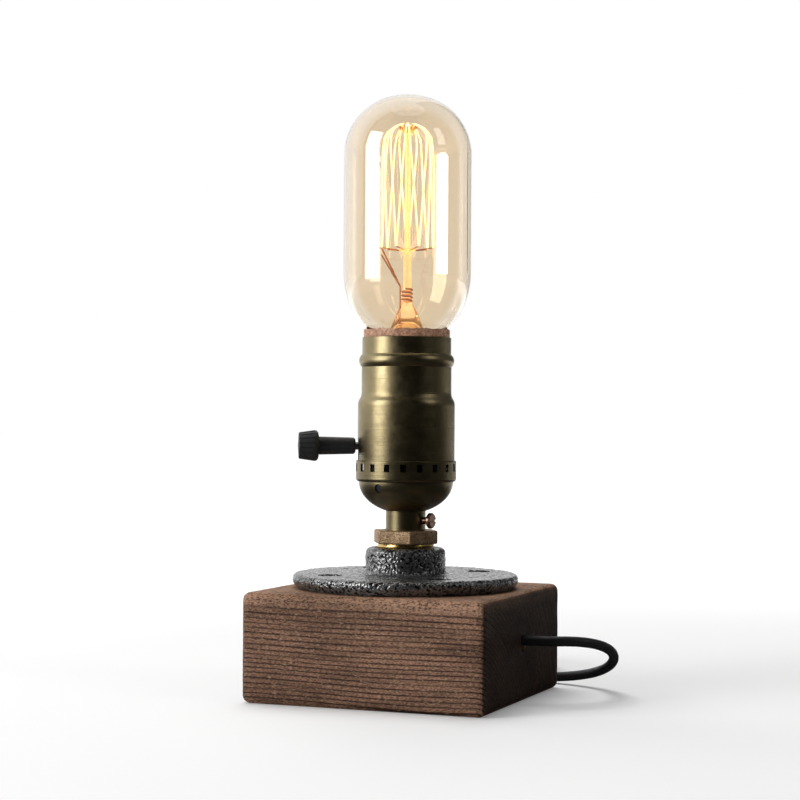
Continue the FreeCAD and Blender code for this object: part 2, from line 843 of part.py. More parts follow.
def make_bulb_insulator():
    outline = Outline(lead_radius + running_clearance, insulator_foot)
    outline.line(insulator_foot_radius, insulator_foot)
    outline.swell(insulator_top_radius, insulator_shoulder - cap_foot_length, -insulator_hollow)
    outline.line(insulator_top_radius, insulator_shoulder + insulator_plug)
    outline.line(lead_radius + running_clearance, insulator_shoulder + insulator_plug)
    return outline.spin()


def make_bulb_cap():
    """Thin brass cap; its rolled thread has the real pitch and depth."""
    middle = (edison_crest_radius + edison_root_radius) / 2
    swell = (edison_crest_radius - edison_root_radius) / 2
    inner = insulator_top_radius + running_clearance
    skirt_inner = edison_crest_radius - edison_wall
    outline = Outline(inner, edison_foot)
    outline.line(inner + edison_wall, edison_foot)
    outline.line(middle, edison_thread_foot)
    height = edison_thread_foot
    for _ in range(edison_turns):
        outline.swell(middle, height + edison_pitch / 2, swell)
        outline.swell(middle, height + edison_pitch, -swell)
        height += edison_pitch
    outline.line(edison_crest_radius, height + edison_wall)
    outline.line(edison_crest_radius, edison_top)
    outline.line(skirt_inner, edison_top)
    outline.line(skirt_inner, height + 2 * edison_wall)
    outline.line(inner, height)
    return outline.spin()


def make_bulb_glass():
    """Blown tubular envelope of even wall, open at its neck."""
    wall = bulb_wall
    belly = bulb_belly
    shoulder = bulb_shoulder
    flat = bulb_radius - bulb_crown_radius
    sway = bulb_crown_radius * math.sqrt(0.5)
    inner_radius = bulb_radius - wall
    inner_depth = bulb_lower_depth - wall
    inner_neck = bulb_neck_radius - wall
    inner_crown = bulb_crown_radius - wall
    inner_sway = inner_crown * math.sqrt(0.5)
    outline = Outline(inner_neck, glass_foot)
    outline.line(bulb_neck_radius, glass_foot)
    outline.line(bulb_neck_radius, glass_foot + bulb_neck_length)
    outline.ellipse(bulb_radius, bulb_lower_depth, belly, bulb_radius, belly)
    outline.line(bulb_radius, shoulder)
    outline.arc(flat + sway, shoulder + sway, flat, shoulder + bulb_crown_radius)
    outline.line(0, shoulder + bulb_crown_radius)
    outline.line(0, shoulder + inner_crown)
    outline.line(flat, shoulder + inner_crown)
    outline.arc(flat + inner_sway, shoulder + inner_sway, inner_radius, shoulder)
    outline.line(inner_radius, belly)
    inner_foot = belly - ellipse_height(inner_radius, inner_depth, inner_neck)
    outline.ellipse(inner_radius, inner_depth, belly, inner_neck, inner_foot)
    outline.line(inner_neck, glass_foot)
    return outline.spin()


def lead_paths():
    """The two lead wires: tip and cap below, past the stem, out to the cage."""
    low = insulator_shoulder + insulator_plug + lead_over_plug
    flare = glass_foot + stem_flare_height
    bend = glass_foot + lead_bend_height
    reach = cage_radius - strand_radius - lead_radius - support_gap
    half = lead_spacing / 2
    centre = [V(0, 0, tip_foot + tip_height + running_clearance), V(0, 0, low)]
    cap_side = edison_root_radius - edison_wall - lead_radius - lead_side_gap
    side = [V(cap_side, -half, low), V(cap_side - lead_side_lean, -half, low + lead_side_rise)]
    offset = stem_rod_radius + 3 * lead_radius + 2 * wrap_gap
    paths = []
    for sign, start in ((1, centre), (-1, side)):
        points = list(start)
        points.append(V(offset, sign * half, flare))
        points.append(V(offset, sign * half, bend))
        points.append(V(reach, sign * half, cage_foot - (lead_drop if sign < 0 else 0)))
        paths.append([turned(Part.Vertex(point), lead_angle).Point for point in points])
    return paths


def make_bulb_leads():
    return Part.makeCompound([drawn_wire(path, lead_radius) for path in lead_paths()])


def make_stem_wrap():
    """Wire wound round the rod: tilted half turns that leave and arrive level."""
    reach = stem_rod_radius + wrap_gap + lead_radius
    foot = glass_foot + stem_flare_height + stem_press_height + wrap_lift
    lead = 2 * lead_radius
    here = V(0, -reach, foot)
    edges = [Part.LineSegment(here + V(lead, 0, 0), here).toShape()]
    for index in range(round(2 * wrap_turns)):
        side = 1 if index % 2 == 0 else -1
        there = here + V(0, 2 * reach * side, wrap_pitch / 2)
        across = there - here
        middle = here + across * 0.5 + V(-side * across.Length / 2, 0, 0)
        edges.append(Part.Arc(here, middle, there).toShape())
        here = there
    heading = 1 if round(2 * wrap_turns) % 2 else -1
    edges.append(Part.LineSegment(here, here + V(lead * heading, 0, 0)).toShape())
    wire = Part.Wire(edges)
    print("stem_wrap: gap between turns %.2f mm" % (wrap_pitch - 2 * lead_radius))
    section = Part.Wire(Part.Circle(V(lead, -reach, foot), V(1, 0, 0), lead_radius).toShape())
    shape = wire.makePipeShell([section], True, False)
    return turned(shape, lead_angle)


def make_bulb_stem():
    """Flared glass foot, pinched press, rod, lower button and upper bead."""
    flare_top = glass_foot + stem_flare_height
    press_top = flare_top + stem_press_height
    button = glass_foot + stem_button_height
    bead = cage_top - upper_bead_drop
    foot = glass_foot + stem_lip_lift
    lip = bulb_neck_radius - bulb_wall - stem_lip_gap
    outline = Outline(lip - stem_wall, foot)
    outline.line(lip, foot)
    outline.swell(stem_press_radius, flare_top, -stem_flare_bow)
    outline.line(stem_press_radius, press_top - stem_press_taper)
    outline.line(stem_rod_radius, press_top)
    outline.line(stem_rod_radius, button)
    outline.line(stem_button_radius, button + stem_button * 0.3)
    outline.line(stem_button_radius, button + stem_button * 0.7)
    outline.line(upper_rod_radius, button + stem_button)
    outline.line(upper_rod_radius, bead - upper_bead_radius * 0.8)
    outline.arc(upper_bead_radius, bead, upper_rod_radius, bead + upper_bead_radius * 0.8)
    outline.line(0, bead + upper_bead_radius)
    outline.line(0, flare_top - stem_wall * 2)
    outline.line(stem_press_radius - stem_wall, flare_top - stem_wall * 2)
    outline.swell(lip - stem_wall, foot, stem_flare_bow)
    shape = outline.spin()
    for path in lead_paths():
        shape = shape.cut(drawn_wire(path, lead_radius))
    return shape


def strand_angles():
    step = 360.0 / strand_count
    return [lead_angle + step * (index + 0.5) for index in range(strand_count)]


def make_filament():
    """Glowing strands: out over the top hooks, then straight down the cage."""
    top = cage_top
    foot = cage_foot
    bend = cage_radius - cage_top_radius
    sway = bend * math.sqrt(0.5)
    start = V(cage_top_radius, 0, top)
    middle = V(cage_top_radius + sway, 0, top - bend + sway)
    end = V(cage_radius, 0, top - bend)
    path = Part.Wire([Part.Arc(start, middle, end).toShape(),
                      Part.LineSegment(end, V(cage_radius, 0, foot)).toShape()])
    section = Part.Wire(Part.Circle(start, V(1, 0, 0), strand_radius).toShape())
    strand = path.makePipeShell([section], True, False)
    return Part.makeCompound([turned(strand, angle) for angle in strand_angles()])


def make_filament_supports():
    """Hooked support wires from the upper bead and from the lower button."""
    bead = cage_top - upper_bead_drop
    button = glass_foot + stem_button_height + stem_button / 2
    wires = []
    for index, angle in enumerate(strand_angles()):
        under = cage_top - strand_radius - support_radius - support_gap
        upper = rod(support_radius, V(upper_bead_radius + 2 * support_gap, 0, bead),
                    V(cage_top_radius + hook_overlap, 0, under))
        wires.append(turned(upper, angle))
        if index % 2 == 0:
            reach = cage_radius - strand_radius - support_radius - support_gap
            lower = rod(support_radius, V(stem_button_radius + support_gap, 0, button), V(reach, 0, cage_foot))
            wires.append(turned(lower, angle))
    return Part.makeCompound(wires)


# ---------------------------------------------------------------- wiring
cord_floor = cord_radius + floor_gap
plug_axis = plug_thickness / 2
coil_pitch = 2 * cord_radius + coil_gap
coil_start = V(2.5, 54, cord_floor)
coil_top = cord_floor + (coil_layers - 1) * coil_pitch

# Free stretch, chosen by hand: out of the side, down to the floor, round the
# back corner of the block and up to the coil.
run_points = [
    V(base_width / 2, 0, cord_exit_height),
    V(52.6, 0, cord_exit_height),
    V(60.6, 3.3, 21.5),
    V(66.5, 9.5, 20.4),
    V(69.5, 17.6, 17.9),
    V(69.2, 26.2, 14.3),
    V(65.8, 34.9, 10.3),
    V(59.4, 42.9, 6.6),
    V(50.0, 49.0, 3.8),
    V(38.8, 52.6, 2.2),
    V(27.8, 53.7, cord_floor),
    V(12, 54, cord_floor),
    coil_start,
]

# From the top of the coil down to the plug.
tail_points = [
    V(0, 54, coil_top),
    V(-8.5, 54, coil_top),
    V(-17.5, 55.6, 9.8),
    V(-25.5, 59.0, plug_axis),
]
tail_points.append(tail_points[-1] + polar(plug_lead, 180 - plug_turn, 0))


def rounded_route(points, name):
    """Straight runs joined by the largest tangent arcs that the runs allow."""
    edges = []
    here = points[0]
    radii = []
    for index in range(1, len(points) - 1):
        corner = points[index]
        into = corner - points[index - 1]
        out = points[index + 1] - corner
        shorter = min(into.Length, out.Length)
        into.normalize()
        out.normalize()
        turn = into.getAngle(out)
        radius = 0.45 * shorter / math.tan(turn / 2)
        radii.append(radius)
        start = corner - into * (0.45 * shorter)
        end = corner + out * (0.45 * shorter)
        bisector = out - into
        bisector.normalize()
        centre = corner + bisector * (radius / math.cos(turn / 2))
        middle = centre - bisector * radius
        edges.append(Part.LineSegment(here, start).toShape())
        edges.append(Part.Arc(start, middle, end).toShape())
        here = end
    edges.append(Part.LineSegment(here, points[-1]).toShape())
    wire = Part.Wire(edges)
    rounded = ", ".join("%.1f" % radius for radius in radii)
    print("%s: length %.1f mm, bend radii %s mm" % (name, wire.Length, rounded))
    return wire


def swept_cord(wire, name):
    edge = wire.OrderedEdges[0]
    start = edge.valueAt(edge.FirstParameter)
    heading = edge.tangentAt(edge.FirstParameter)
    section = Part.Wire(Part.Circle(start, heading, cord_radius).toShape())
    shape = wire.makePipeShell([section], True, False)
    expected = math.pi * cord_radius ** 2 * wire.Length
    print("%s: volume %.1f, section times length %.1f mm3" % (name, shape.Volume, expected))
    return shape


def half_turn_radii():
    """Radii of all half turns: layers spiral in, then out, a climb between."""
    inward = [-0.5 * coil_pitch * index for index in range(coil_half_turns)]
    inner = -0.5 * coil_pitch * coil_half_turns
    steps = []
    for layer in range(coil_layers):
        spiral_in = layer % 2 == 0
        steps += inward if spiral_in else inward[::-1]
        if layer < coil_layers - 1:
            steps.append(inner if spiral_in else 0.5 * coil_pitch)
    steps.append(0.5 * coil_pitch)
    return [coil_outer_radius + step for step in steps]


def coil_path():
    """Half turns, clockwise from above, each climb a tilted half turn."""
    radii = half_turn_radii()
    lead = 2 * cord_radius
    here = V(coil_start)
    edges = [Part.LineSegment(here, here - V(lead, 0, 0)).toShape()]
    here = here - V(lead, 0, 0)
    for index, radius in enumerate(radii):
        side = 1 if index % 2 == 0 else -1
        climb = (index + 1) % (coil_half_turns + 1) == 0 and index < len(radii) - 1
        rise = coil_pitch if climb else 0
        there = here + V(0, 2 * radius * side, rise)
        across = there - here
        middle = here + across * 0.5 + V(-side * across.Length / 2, 0, 0)
        edges.append(Part.Arc(here, middle, there).toShape())
        here = there
    edges.append(Part.LineSegment(here, here - V(lead, 0, 0)).toShape())
    return Part.Wire(edges)


def least_gap_to_itself(wire):
    """Closest approach of the coil's surface to itself, on points 1 mm apart."""
    points = wire.discretize(Distance=1.0)
    skip = int(6 * cord_radius)
    cell = 2 * cord_radius + 2
    grid = {}
    least = 1e9
    for index, point in enumerate(points):
        key = (int(point.x // cell), int(point.y // cell), int(point.z // cell))
        for x in (-1, 0, 1):
            for y in (-1, 0, 1):
                for z in (-1, 0, 1):
                    for other in grid.get((key[0] + x, key[1] + y, key[2] + z), []):
                        if index - other > skip:
                            least = min(least, (points[other] - point).Length)
        grid.setdefault(key, []).append(index)
    return least - 2 * cord_radius


def make_cord_coil():
    wire = coil_path()
    print("cord_coil: length %.1f mm, %d half turns" % (wire.Length, len(half_turn_radii())))
    print("cord_coil: least gap to itself %.2f mm" % least_gap_to_itself(wire))
    return swept_cord(wire, "cord_coil")


def make_cord_run():
    return swept_cord(rounded_route(run_points, "cord_run"), "cord_run")


def tail_start():
    """Where the top layer of the coil ends."""
    return V(coil_path().Vertexes[-1].Point)


def make_cord_tail():
    end = tail_start()
    shift = end - tail_points[0]
    points = [end] + [V(point.x + shift.x, point.y + shift.y, point.z) for point in tail_points[1:]]
    points[1].z = end.z
    return swept_cord(rounded_route(points, "cord_tail"), "cord_tail")


def make_cord_inside():
    """Cord in the block: in at the side hole, one bend, up through the pipe."""
    height = cord_exit_height
    bend = inner_bend_radius
    top = nipple_top + jacket_above_nipple
    sway = bend * (1 - math.sqrt(0.5))
    outer = V(base_width / 2, 0, height)
    corner = V(bend, 0, height)
    upper = V(0, 0, height + bend)
    path = Part.Wire([Part.LineSegment(outer, corner).toShape(),
                      Part.Arc(corner, V(sway, 0, height + sway), upper).toShape(),
                      Part.LineSegment(upper, V(0, 0, top)).toShape()])
    return swept_cord(path, "cord_inside")


def make_supply_wires():
    """The cord's two insulated conductors, split out to the terminals."""
    start = nipple_top + jacket_above_nipple
    out = works_flat + terminal_thickness + conductor_radius + sheet_clearance
    turn_height = band_foot - wire_turn_drop
    top = body_foot + terminal_screw_rise - terminal_head_radius - loose_clearance
    wires = []
    for side in (-1, 1):
        points = [V(0, side * (conductor_radius + sheet_clearance), start),
                  V(0, side * (conductor_radius + sheet_clearance), start + wire_stub),
                  V(0, side * out, turn_height),
                  V(0, side * out, top)]
        wires.append(turned(bent_wire(points, conductor_radius), knob_angle))
    return Part.makeCompound(wires)


def plug_start():
    shift = tail_start() - tail_points[0]
    return tail_points[-1] + V(shift.x, shift.y, 0)


def make_plug_body():
    """Moulded two-pin plug with a ribbed, tapering strain relief."""
    outline = Outline(0, 0)
    mouth = cord_radius + relief_sleeve
    outline.line(mouth, 0)
    rib = relief_length / (2 * relief_ribs + 1)
    growth = (relief_radius - mouth) / relief_ribs
    for index in range(relief_ribs):
        radius = mouth + growth * index
        crest = radius + growth + relief_rib_height
        outline.line(radius, rib * (2 * index + 1))
        outline.line(crest, rib * (2 * index + 1))
        outline.line(crest, rib * (2 * index + 2))
        outline.line(radius + growth, rib * (2 * index + 2))
    outline.line(relief_radius, relief_length + 1)
    outline.line(0, relief_length + 1)
    relief = outline.spin()
    body = block(-plug_thickness / 2, plug_thickness / 2, -plug_width / 2, plug_width / 2,
                 relief_length, relief_length + plug_length)
    body = body.makeFillet(plug_rounding, body.Edges)
    shape = body.fuse(relief)
    shape.rotate(V(0, 0, 0), V(0, 1, 0), -90)
    return laid_askew(shape.cut(straight_blades()))


def laid_askew(shape):
    """Move the plug from the origin to the end of the cord, on its heading."""
    shape.rotate(V(0, 0, 0), Z_AXIS, -plug_turn)
    shape.translate(plug_start())
    return shape


def straight_blades():
    """The two blades of a plug whose cord enters at the origin, towards -X."""
    face = -relief_length - plug_length
    half = plug_blade_width / 2
    blades = []
    for side in (-1, 1):
        middle = side * plug_blade_spacing / 2
        blade = block(face - plug_blade_length, face + plug_blade_root,
                      middle - plug_blade_thickness / 2, middle + plug_blade_thickness / 2, -half, half)
        uprights = [edge for edge in blade.Edges
                    if abs(edge.BoundBox.XMax - face + plug_blade_length) < 1e-6
                    and edge.BoundBox.YLength > 1e-3]
        blades.append(blade.makeChamfer(plug_blade_width / 4, uprights))
    return Part.makeCompound(blades)


def make_plug_blades():
    return laid_askew(straight_blades())


# ---------------------------------------------------------------- write
pieces = {
    "wood_base": make_wood_base,
    "floor_flange": make_floor_flange,
    "flange_screws": make_flange_screws,
    "hex_bushing": make_hex_bushing,
    "lamp_nipple": make_lamp_nipple,
    "socket_cap": make_socket_cap,
    "cap_liner": make_cap_liner,
    "cap_set_screw": make_set_screw,
    "socket_shell": make_socket_shell,
    "shell_liner": make_shell_liner,
    "switch_body": make_switch_body,
    "switch_cover": make_switch_cover,
    "body_rivets": make_body_rivets,
    "switch_contacts": make_switch_contacts,
    "switch_rotor": make_switch_rotor,
    "switch_shaft": make_switch_shaft,
    "turn_knob": make_turn_knob,
    "terminal_plates": make_terminal_plates,
    "terminal_screws": make_terminal_screws,
    "screw_shell": make_screw_shell,
    "centre_contact": make_centre_contact,
    "bulb_tip": make_bulb_tip,
    "bulb_insulator": make_bulb_insulator,
    "bulb_cap": make_bulb_cap,
    "bulb_glass": make_bulb_glass,
    "bulb_stem": make_bulb_stem,
    "bulb_leads": make_bulb_leads,
    "stem_wrap": make_stem_wrap,
    "filament": make_filament,
    "filament_supports": make_filament_supports,
    "supply_wires": make_supply_wires,
    "cord_inside": make_cord_inside,
    "cord_run": make_cord_run,
    "cord_coil": make_cord_coil,
    "cord_tail": make_cord_tail,
    "plug_body": make_plug_body,
    "plug_blades": make_plug_blades,
}

os.makedirs("parts", exist_ok=True)
for name, make in pieces.items():
    solid = make()
    box = solid.BoundBox
    print("%-18s valid %s, solids %d, volume %.1f mm3, Z %.2f to %.2f" % (
        name, solid.isValid(), len(solid.Solids), solid.Volume, box.ZMin, box.ZMax))
    solid.exportStep("parts/%s.step" % name)
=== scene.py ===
# %% [markdown]
# A bare bulb table lamp.
# The frame below holds the lamp as it was constructed: each node is one real
# piece, at its real size. This script dresses those pieces. Pieces whose shape
# is right only get a finish, and the others get a finer shape of their own.

# %% Load the constructed lamp
import math
import random

import bmesh
import bpy
from mathutils import Matrix, Vector, noise


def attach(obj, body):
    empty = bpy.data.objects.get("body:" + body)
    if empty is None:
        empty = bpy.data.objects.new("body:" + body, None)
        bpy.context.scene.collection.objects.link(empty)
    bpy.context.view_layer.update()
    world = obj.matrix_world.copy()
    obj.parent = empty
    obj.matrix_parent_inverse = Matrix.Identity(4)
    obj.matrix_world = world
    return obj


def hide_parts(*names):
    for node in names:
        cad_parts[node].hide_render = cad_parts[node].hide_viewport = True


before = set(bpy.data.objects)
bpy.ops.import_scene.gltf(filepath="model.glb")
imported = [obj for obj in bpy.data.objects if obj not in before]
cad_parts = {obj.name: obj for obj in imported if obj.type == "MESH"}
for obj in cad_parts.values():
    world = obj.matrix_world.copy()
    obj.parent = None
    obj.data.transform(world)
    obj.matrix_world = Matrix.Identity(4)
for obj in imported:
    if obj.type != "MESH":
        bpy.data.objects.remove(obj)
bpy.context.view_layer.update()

mm = 0.001

# %% [markdown]
# The camera stands where the photographer stood: 70 cm away, a little to the
# right of the block's front, with its lens at the height of the lamp holder.
# Its three directions were measured, so they go straight into its matrix.

# %% Camera
camera_right = Vector((0.92982, 0.36797, 0.00630))
camera_up = Vector((-0.00232, -0.01127, 0.99993))
camera_back = Vector((0.36802, -0.92977, -0.00963))
camera_spot = Vector((255.486, -651.680, 97.408)) * mm
camera_side = 21.6                        # degrees from the block's front to the camera

lens = bpy.data.cameras.new("photo_camera")
lens.lens = 89.108
lens.sensor_width = 36.0
lens.clip_start = 0.05
photo_camera = bpy.data.objects.new("photo_camera", lens)
bpy.context.scene.collection.objects.link(photo_camera)
turn = Matrix((camera_right, camera_up, camera_back)).transposed()
photo_camera.matrix_world = Matrix.Translation(camera_spot) @ turn.to_4x4()
bpy.context.scene.camera = photo_camera
print("camera stands", round(camera_spot.length, 3), "m from the lamp's foot")

# %% [markdown]
# Small helpers for node materials. A node's input is either a plain value or
# another node's output, so one function can place a node and wire it up.

# %% Node helpers
def put(tree, kind, inputs=None, **settings):
    """Adds a node to a tree, sets it up and links what is linked."""
    new = tree.nodes.new(kind)
    for key, value in settings.items():
        setattr(new, key, value)
    for key, value in (inputs or {}).items():
        if isinstance(value, bpy.types.NodeSocket):
            tree.links.new(value, new.inputs[key])
        else:
            new.inputs[key].default_value = value
    return new


def calc(tree, operation, first, second=0.0, third=0.0):
    """One step of arithmetic, as an output socket."""
    inputs = {0: first, 1: second, 2: third}
    return put(tree, "ShaderNodeMath", inputs, operation=operation).outputs[0]


def fade(tree, value, low, high, to_low=0.0, to_high=1.0):
    """A smooth step: to_low under low, to_high over high."""
    inputs = {"Value": value, "From Min": low, "From Max": high,
              "To Min": to_low, "To Max": to_high}
    step = put(tree, "ShaderNodeMapRange", inputs, interpolation_type="SMOOTHSTEP", clamp=True)
    return step.outputs["Result"]


def blend_colours(tree, share, first, second):
    """Mixes two colours by a share from 0 to 1."""
    mix = put(tree, "ShaderNodeMix", {"Factor": share}, data_type="RGBA")
    for key, value in ((6, first), (7, second)):
        if isinstance(value, bpy.types.NodeSocket):
            tree.links.new(value, mix.inputs[key])
        else:
            mix.inputs[key].default_value = (*value, 1.0)
    return mix.outputs[2]


def scale_colour(tree, colour, share):
    """Makes a colour darker or brighter by a plain or varying share."""
    return put(tree, "ShaderNodeVectorMath", {0: colour, "Scale": share}, operation="SCALE").outputs[0]


def height_in_metres(tree):
    """How high each point of a piece lies over the floor."""
    place = put(tree, "ShaderNodeTexCoord").outputs["Object"]
    return put(tree, "ShaderNodeSeparateXYZ", {0: place}).outputs[2]


def add_relief(tree, height, strength, distance):
    """Tilts the surface by a height from 0 to 1, over a distance in metres."""
    bump = put(tree, "ShaderNodeBump", {"Height": height, "Strength": strength, "Distance": distance})
    tree.links.new(bump.outputs[0], tree.nodes["Principled BSDF"].inputs["Normal"])


def new_finish(name, **settings):
    """A material with its Principled shader; settings are plain shader values."""
    finish = bpy.data.materials.new(name)
    finish.use_nodes = True
    shader = finish.node_tree.nodes["Principled BSDF"]
    for key, value in settings.items():
        label = key.replace("_", " ").title().replace("Ior", "IOR")
        shader.inputs[label].default_value = value
    return finish, finish.node_tree, shader


def dress(finish, *nodes):
    """Gives constructed pieces their finish."""
    for node in nodes:
        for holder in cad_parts[node].material_slots:
            holder.material = finish
    print(finish.name, "dresses", ", ".join(nodes))


# %% [markdown]
# Most finishes here vary in the same three ways, so each is a node group that
# is built once. Cast metal has lumps left by the sand it was poured in. Turned
# metal has fine rings from the lathe. Everything has a soft mottling of polish.
# Groups give out only heights and masks, and the shader stays in the material.

# %% Shared surface effects
def new_effect(name, controls, results):
    """An empty node group with named number inputs and outputs."""
    effect = bpy.data.node_groups.new(name, "ShaderNodeTree")
    for label, value in controls.items():
        socket = effect.interface.new_socket(label, in_out="INPUT", socket_type="NodeSocketFloat")
        socket.default_value = value
    for label in results:
        effect.interface.new_socket(label, in_out="OUTPUT", socket_type="NodeSocketFloat")
    entry = effect.nodes.new("NodeGroupInput")
    leave = effect.nodes.new("NodeGroupOutput")
    place = put(effect, "ShaderNodeTexCoord").outputs["Object"]
    return effect, entry.outputs, leave.inputs, place


def use_effect(tree, effect, **controls):
    """Places an effect in a material with its own values."""
    inputs = {key.replace("_", " ").capitalize(): value for key, value in controls.items()}
    return put(tree, "ShaderNodeGroup", inputs, node_tree=effect).outputs


cast_lumps, control, result, place = new_effect("cast_lumps", {"Per metre": 500.0}, ("Height", "Pits"))
inputs = {"Vector": place, "Scale": control[0], "Detail": 1.5, "Roughness": 0.4}
broad = put(cast_lumps, "ShaderNodeTexNoise", inputs)
pits = fade(cast_lumps, broad.outputs[0], 0.36, 0.50, 1.0, 0.0)
cast_lumps.links.new(broad.outputs[0], result[0])
cast_lumps.links.new(pits, result[1])

lathe_rings, control, result, place = new_effect("lathe_rings", {"Per metre": 2500.0}, ("Height",))
along = put(lathe_rings, "ShaderNodeSeparateXYZ", {0: place}).outputs[2]
inputs = {"W": along, "Scale": control[0], "Detail": 2.0}
ring = put(lathe_rings, "ShaderNodeTexNoise", inputs, noise_dimensions="1D")
lathe_rings.links.new(ring.outputs[0], result[0])

controls = {"Per metre": 120.0, "Low": 0.3, "High": 0.5}
mottling, control, result, place = new_effect("mottling", controls, ("Value",))
inputs = {"Vector": place, "Scale": control[0], "Detail": 5.0, "Roughness": 0.65}
cloud = put(mottling, "ShaderNodeTexNoise", inputs)
value = fade(mottling, cloud.outputs[0], 0.3, 0.7, control[1], control[2])
mottling.links.new(value, result[0])


def mottled_finish(name, per_metre, low, high, **settings):
    """A material whose roughness is mottled between two values."""
    finish, tree, shader = new_finish(name, **settings)
    sheen = use_effect(tree, mottling, per_metre=per_metre, low=low, high=high)[0]
    tree.links.new(sheen, shader.inputs["Roughness"])
    return finish


def add_mould_grain(finish, per_metre, strength):
    """Gives a moulded finish the fine grain of its mould."""
    tree = finish.node_tree
    add_relief(tree, use_effect(tree, cast_lumps, per_metre=per_metre)[0], strength, 0.0001)


print("shared effects:", cast_lumps.name, lathe_rings.name, mottling.name)

# %% [markdown]
# The cord is round and black, 3.5 mm thick, and 1.8 m long with what runs
# inside the lamp. It leaves the end grain side of the block, bends down and
# round the back corner, and is wound into a neat coil of four layers close
# behind the block, where the lamp hides it. Its plug lies beside the coil. One
# smooth spline carries all that is outside.

# %% Cord
cord_radius = 1.75
cord_floor = 1.8
coil_start = (-1.0, 54.0, cord_floor)
coil_outer_radius = 24.75
coil_pitch = 3.95                         # from one turn or layer to the next
coil_layers = 4
coil_half_turns = 5                       # in each layer, before the one that changes layers
points_per_half_turn = 6

out_and_round = [
    (44.0, 0.0, 21.3), (52.6, 0.0, 21.3), (60.6, 3.3, 21.5), (66.5, 9.5, 20.4),
    (69.5, 17.6, 17.9), (69.2, 26.2, 14.3), (65.8, 34.9, 10.3), (59.4, 42.9, 6.6),
    (50.0, 49.0, 3.8), (38.8, 52.6, 2.2), (27.8, 53.7, cord_floor), (12.0, 54.0, cord_floor),
    (2.5, 54.0, cord_floor),
]
to_the_plug = [
    (-4.5, 54.0, 13.65), (-13.0, 54.0, 13.65), (-22.0, 55.6, 9.8), (-30.0, 59.0, 6.8),
    (-35.73, 63.02, 6.8),
]


def coil_points():
    """Control points of all the half turns: inwards in one layer, outwards in the next."""
    inward = [-0.5 * coil_pitch * step for step in range(coil_half_turns)]
    steps = []
    for layer in range(coil_layers):
        goes_in = layer % 2 == 0
        steps += inward if goes_in else inward[::-1]
        steps.append(-0.5 * coil_pitch * coil_half_turns if goes_in else 0.5 * coil_pitch)
    wedge = 180 / points_per_half_turn
    spots = []
    x, y, z = coil_start
    for count, step in enumerate(steps):
        radius = coil_outer_radius + step
        side = 1 if count % 2 == 0 else -1
        changes_layer = count % (coil_half_turns + 1) == coil_half_turns and count < len(steps) - 1
        rise = coil_pitch if changes_layer else 0.0
        middle = y + side * radius
        reach = radius / math.cos(math.radians(wedge / 2))
        for part in range(points_per_half_turn):
            angle = math.radians(wedge * (part + 0.5))
            level = z + rise * (1 - math.cos(angle)) / 2
            spots.append((x - side * reach * math.sin(angle),
                          middle - side * reach * math.cos(angle), level))
        y += 2 * radius * side
        z += rise
    return spots


def round_curve(name, radius, resolution, bevel_resolution):
    """An empty curve with a round section; its radius is in mm."""
    curve = bpy.data.curves.new(name, "CURVE")
    curve.dimensions = "3D"
    curve.bevel_depth = radius            # times each point's own radius, which is 1 mm
    curve.bevel_resolution = bevel_resolution
    curve.resolution_u = resolution
    curve.use_fill_caps = True
    return curve


def add_spline(curve, spots):
    """Adds a smooth line through control points in mm."""
    line = curve.splines.new("NURBS")
    line.points.add(len(spots) - 1)
    for point, (x, y, z) in zip(line.points, spots):
        point.co = (x * mm, y * mm, z * mm, 1.0)
        point.radius = mm
    line.order_u = 3
    line.use_endpoint_u = True


cord_points = out_and_round + coil_points() + to_the_plug
cord_curve = round_curve("mains_cord", cord_radius, resolution=5, bevel_resolution=5)
add_spline(cord_curve, cord_points)
mains_cord = bpy.data.objects.new("mains_cord", cord_curve)
bpy.context.scene.collection.objects.link(mains_cord)
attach(mains_cord, "root")
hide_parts("cord_run", "cord_coil", "cord_tail")
print("cord control points:", len(cord_points))

# %% [markdown]
# The jacket is satin black rubber. A little mottling keeps its sheen from
# looking like paint. The plug is moulded in a harder, slightly greyer black.

# %% Cord and plug finish
jacket = mottled_finish("black_jacket", 400.0, 0.35, 0.55,
                        Base_Color=(0.012, 0.012, 0.013, 1.0), Specular_IOR_Level=0.4)
mains_cord.data.materials.append(jacket)
dress(jacket, "cord_inside", "supply_wires")

plug_moulding = mottled_finish("plug_moulding", 700.0, 0.4, 0.6,
                               Base_Color=(0.018, 0.018, 0.019, 1.0))
add_mould_grain(plug_moulding, 2500.0, strength=0.25)
dress(plug_moulding, "plug_body")

# %% [markdown]
# The block is an offcut of softwood, stained brown. Its growth rings are
# cylinders that run from left to right, with the heart of the tree low down
# in front. So the long faces show close dark lines, and the sawn end shows
# arcs. One formula gives both: the distance from the heart, bent a little by
# slow waves. It is written twice, for the shader and for the mesh, where the
# dark lines lie a little deeper than the wood between them.

# %% Growth rings, as arithmetic
heart_y = -58.0
heart_z = -26.0
sway_depth, sway_length, sway_start = 0.55, 33, 0.8         # a slow bend along the block
twist_depth, twist_length, twist_rise = 0.22, 13, 9         # a quick one, which leans with height
ring_density, ring_thinning = 0.93, 0.0033                  # rings per mm, and their loss per mm
gap_depth, gap_length, gap_start = 0.15, 1.9, 2             # good years and bad ones


def ring_phase(x, y, z):
    """How many growth rings lie between the heart and a point, in mm."""
    distance = math.hypot(y - heart_y, z - heart_z)
    sway = sway_depth * math.sin(x / sway_length + sway_start)
    distance += sway + twist_depth * math.sin(x / twist_length + z / twist_rise)
    rings = distance * (ring_density - ring_thinning * distance)
    return rings + gap_depth * math.sin(distance / gap_length + gap_start)


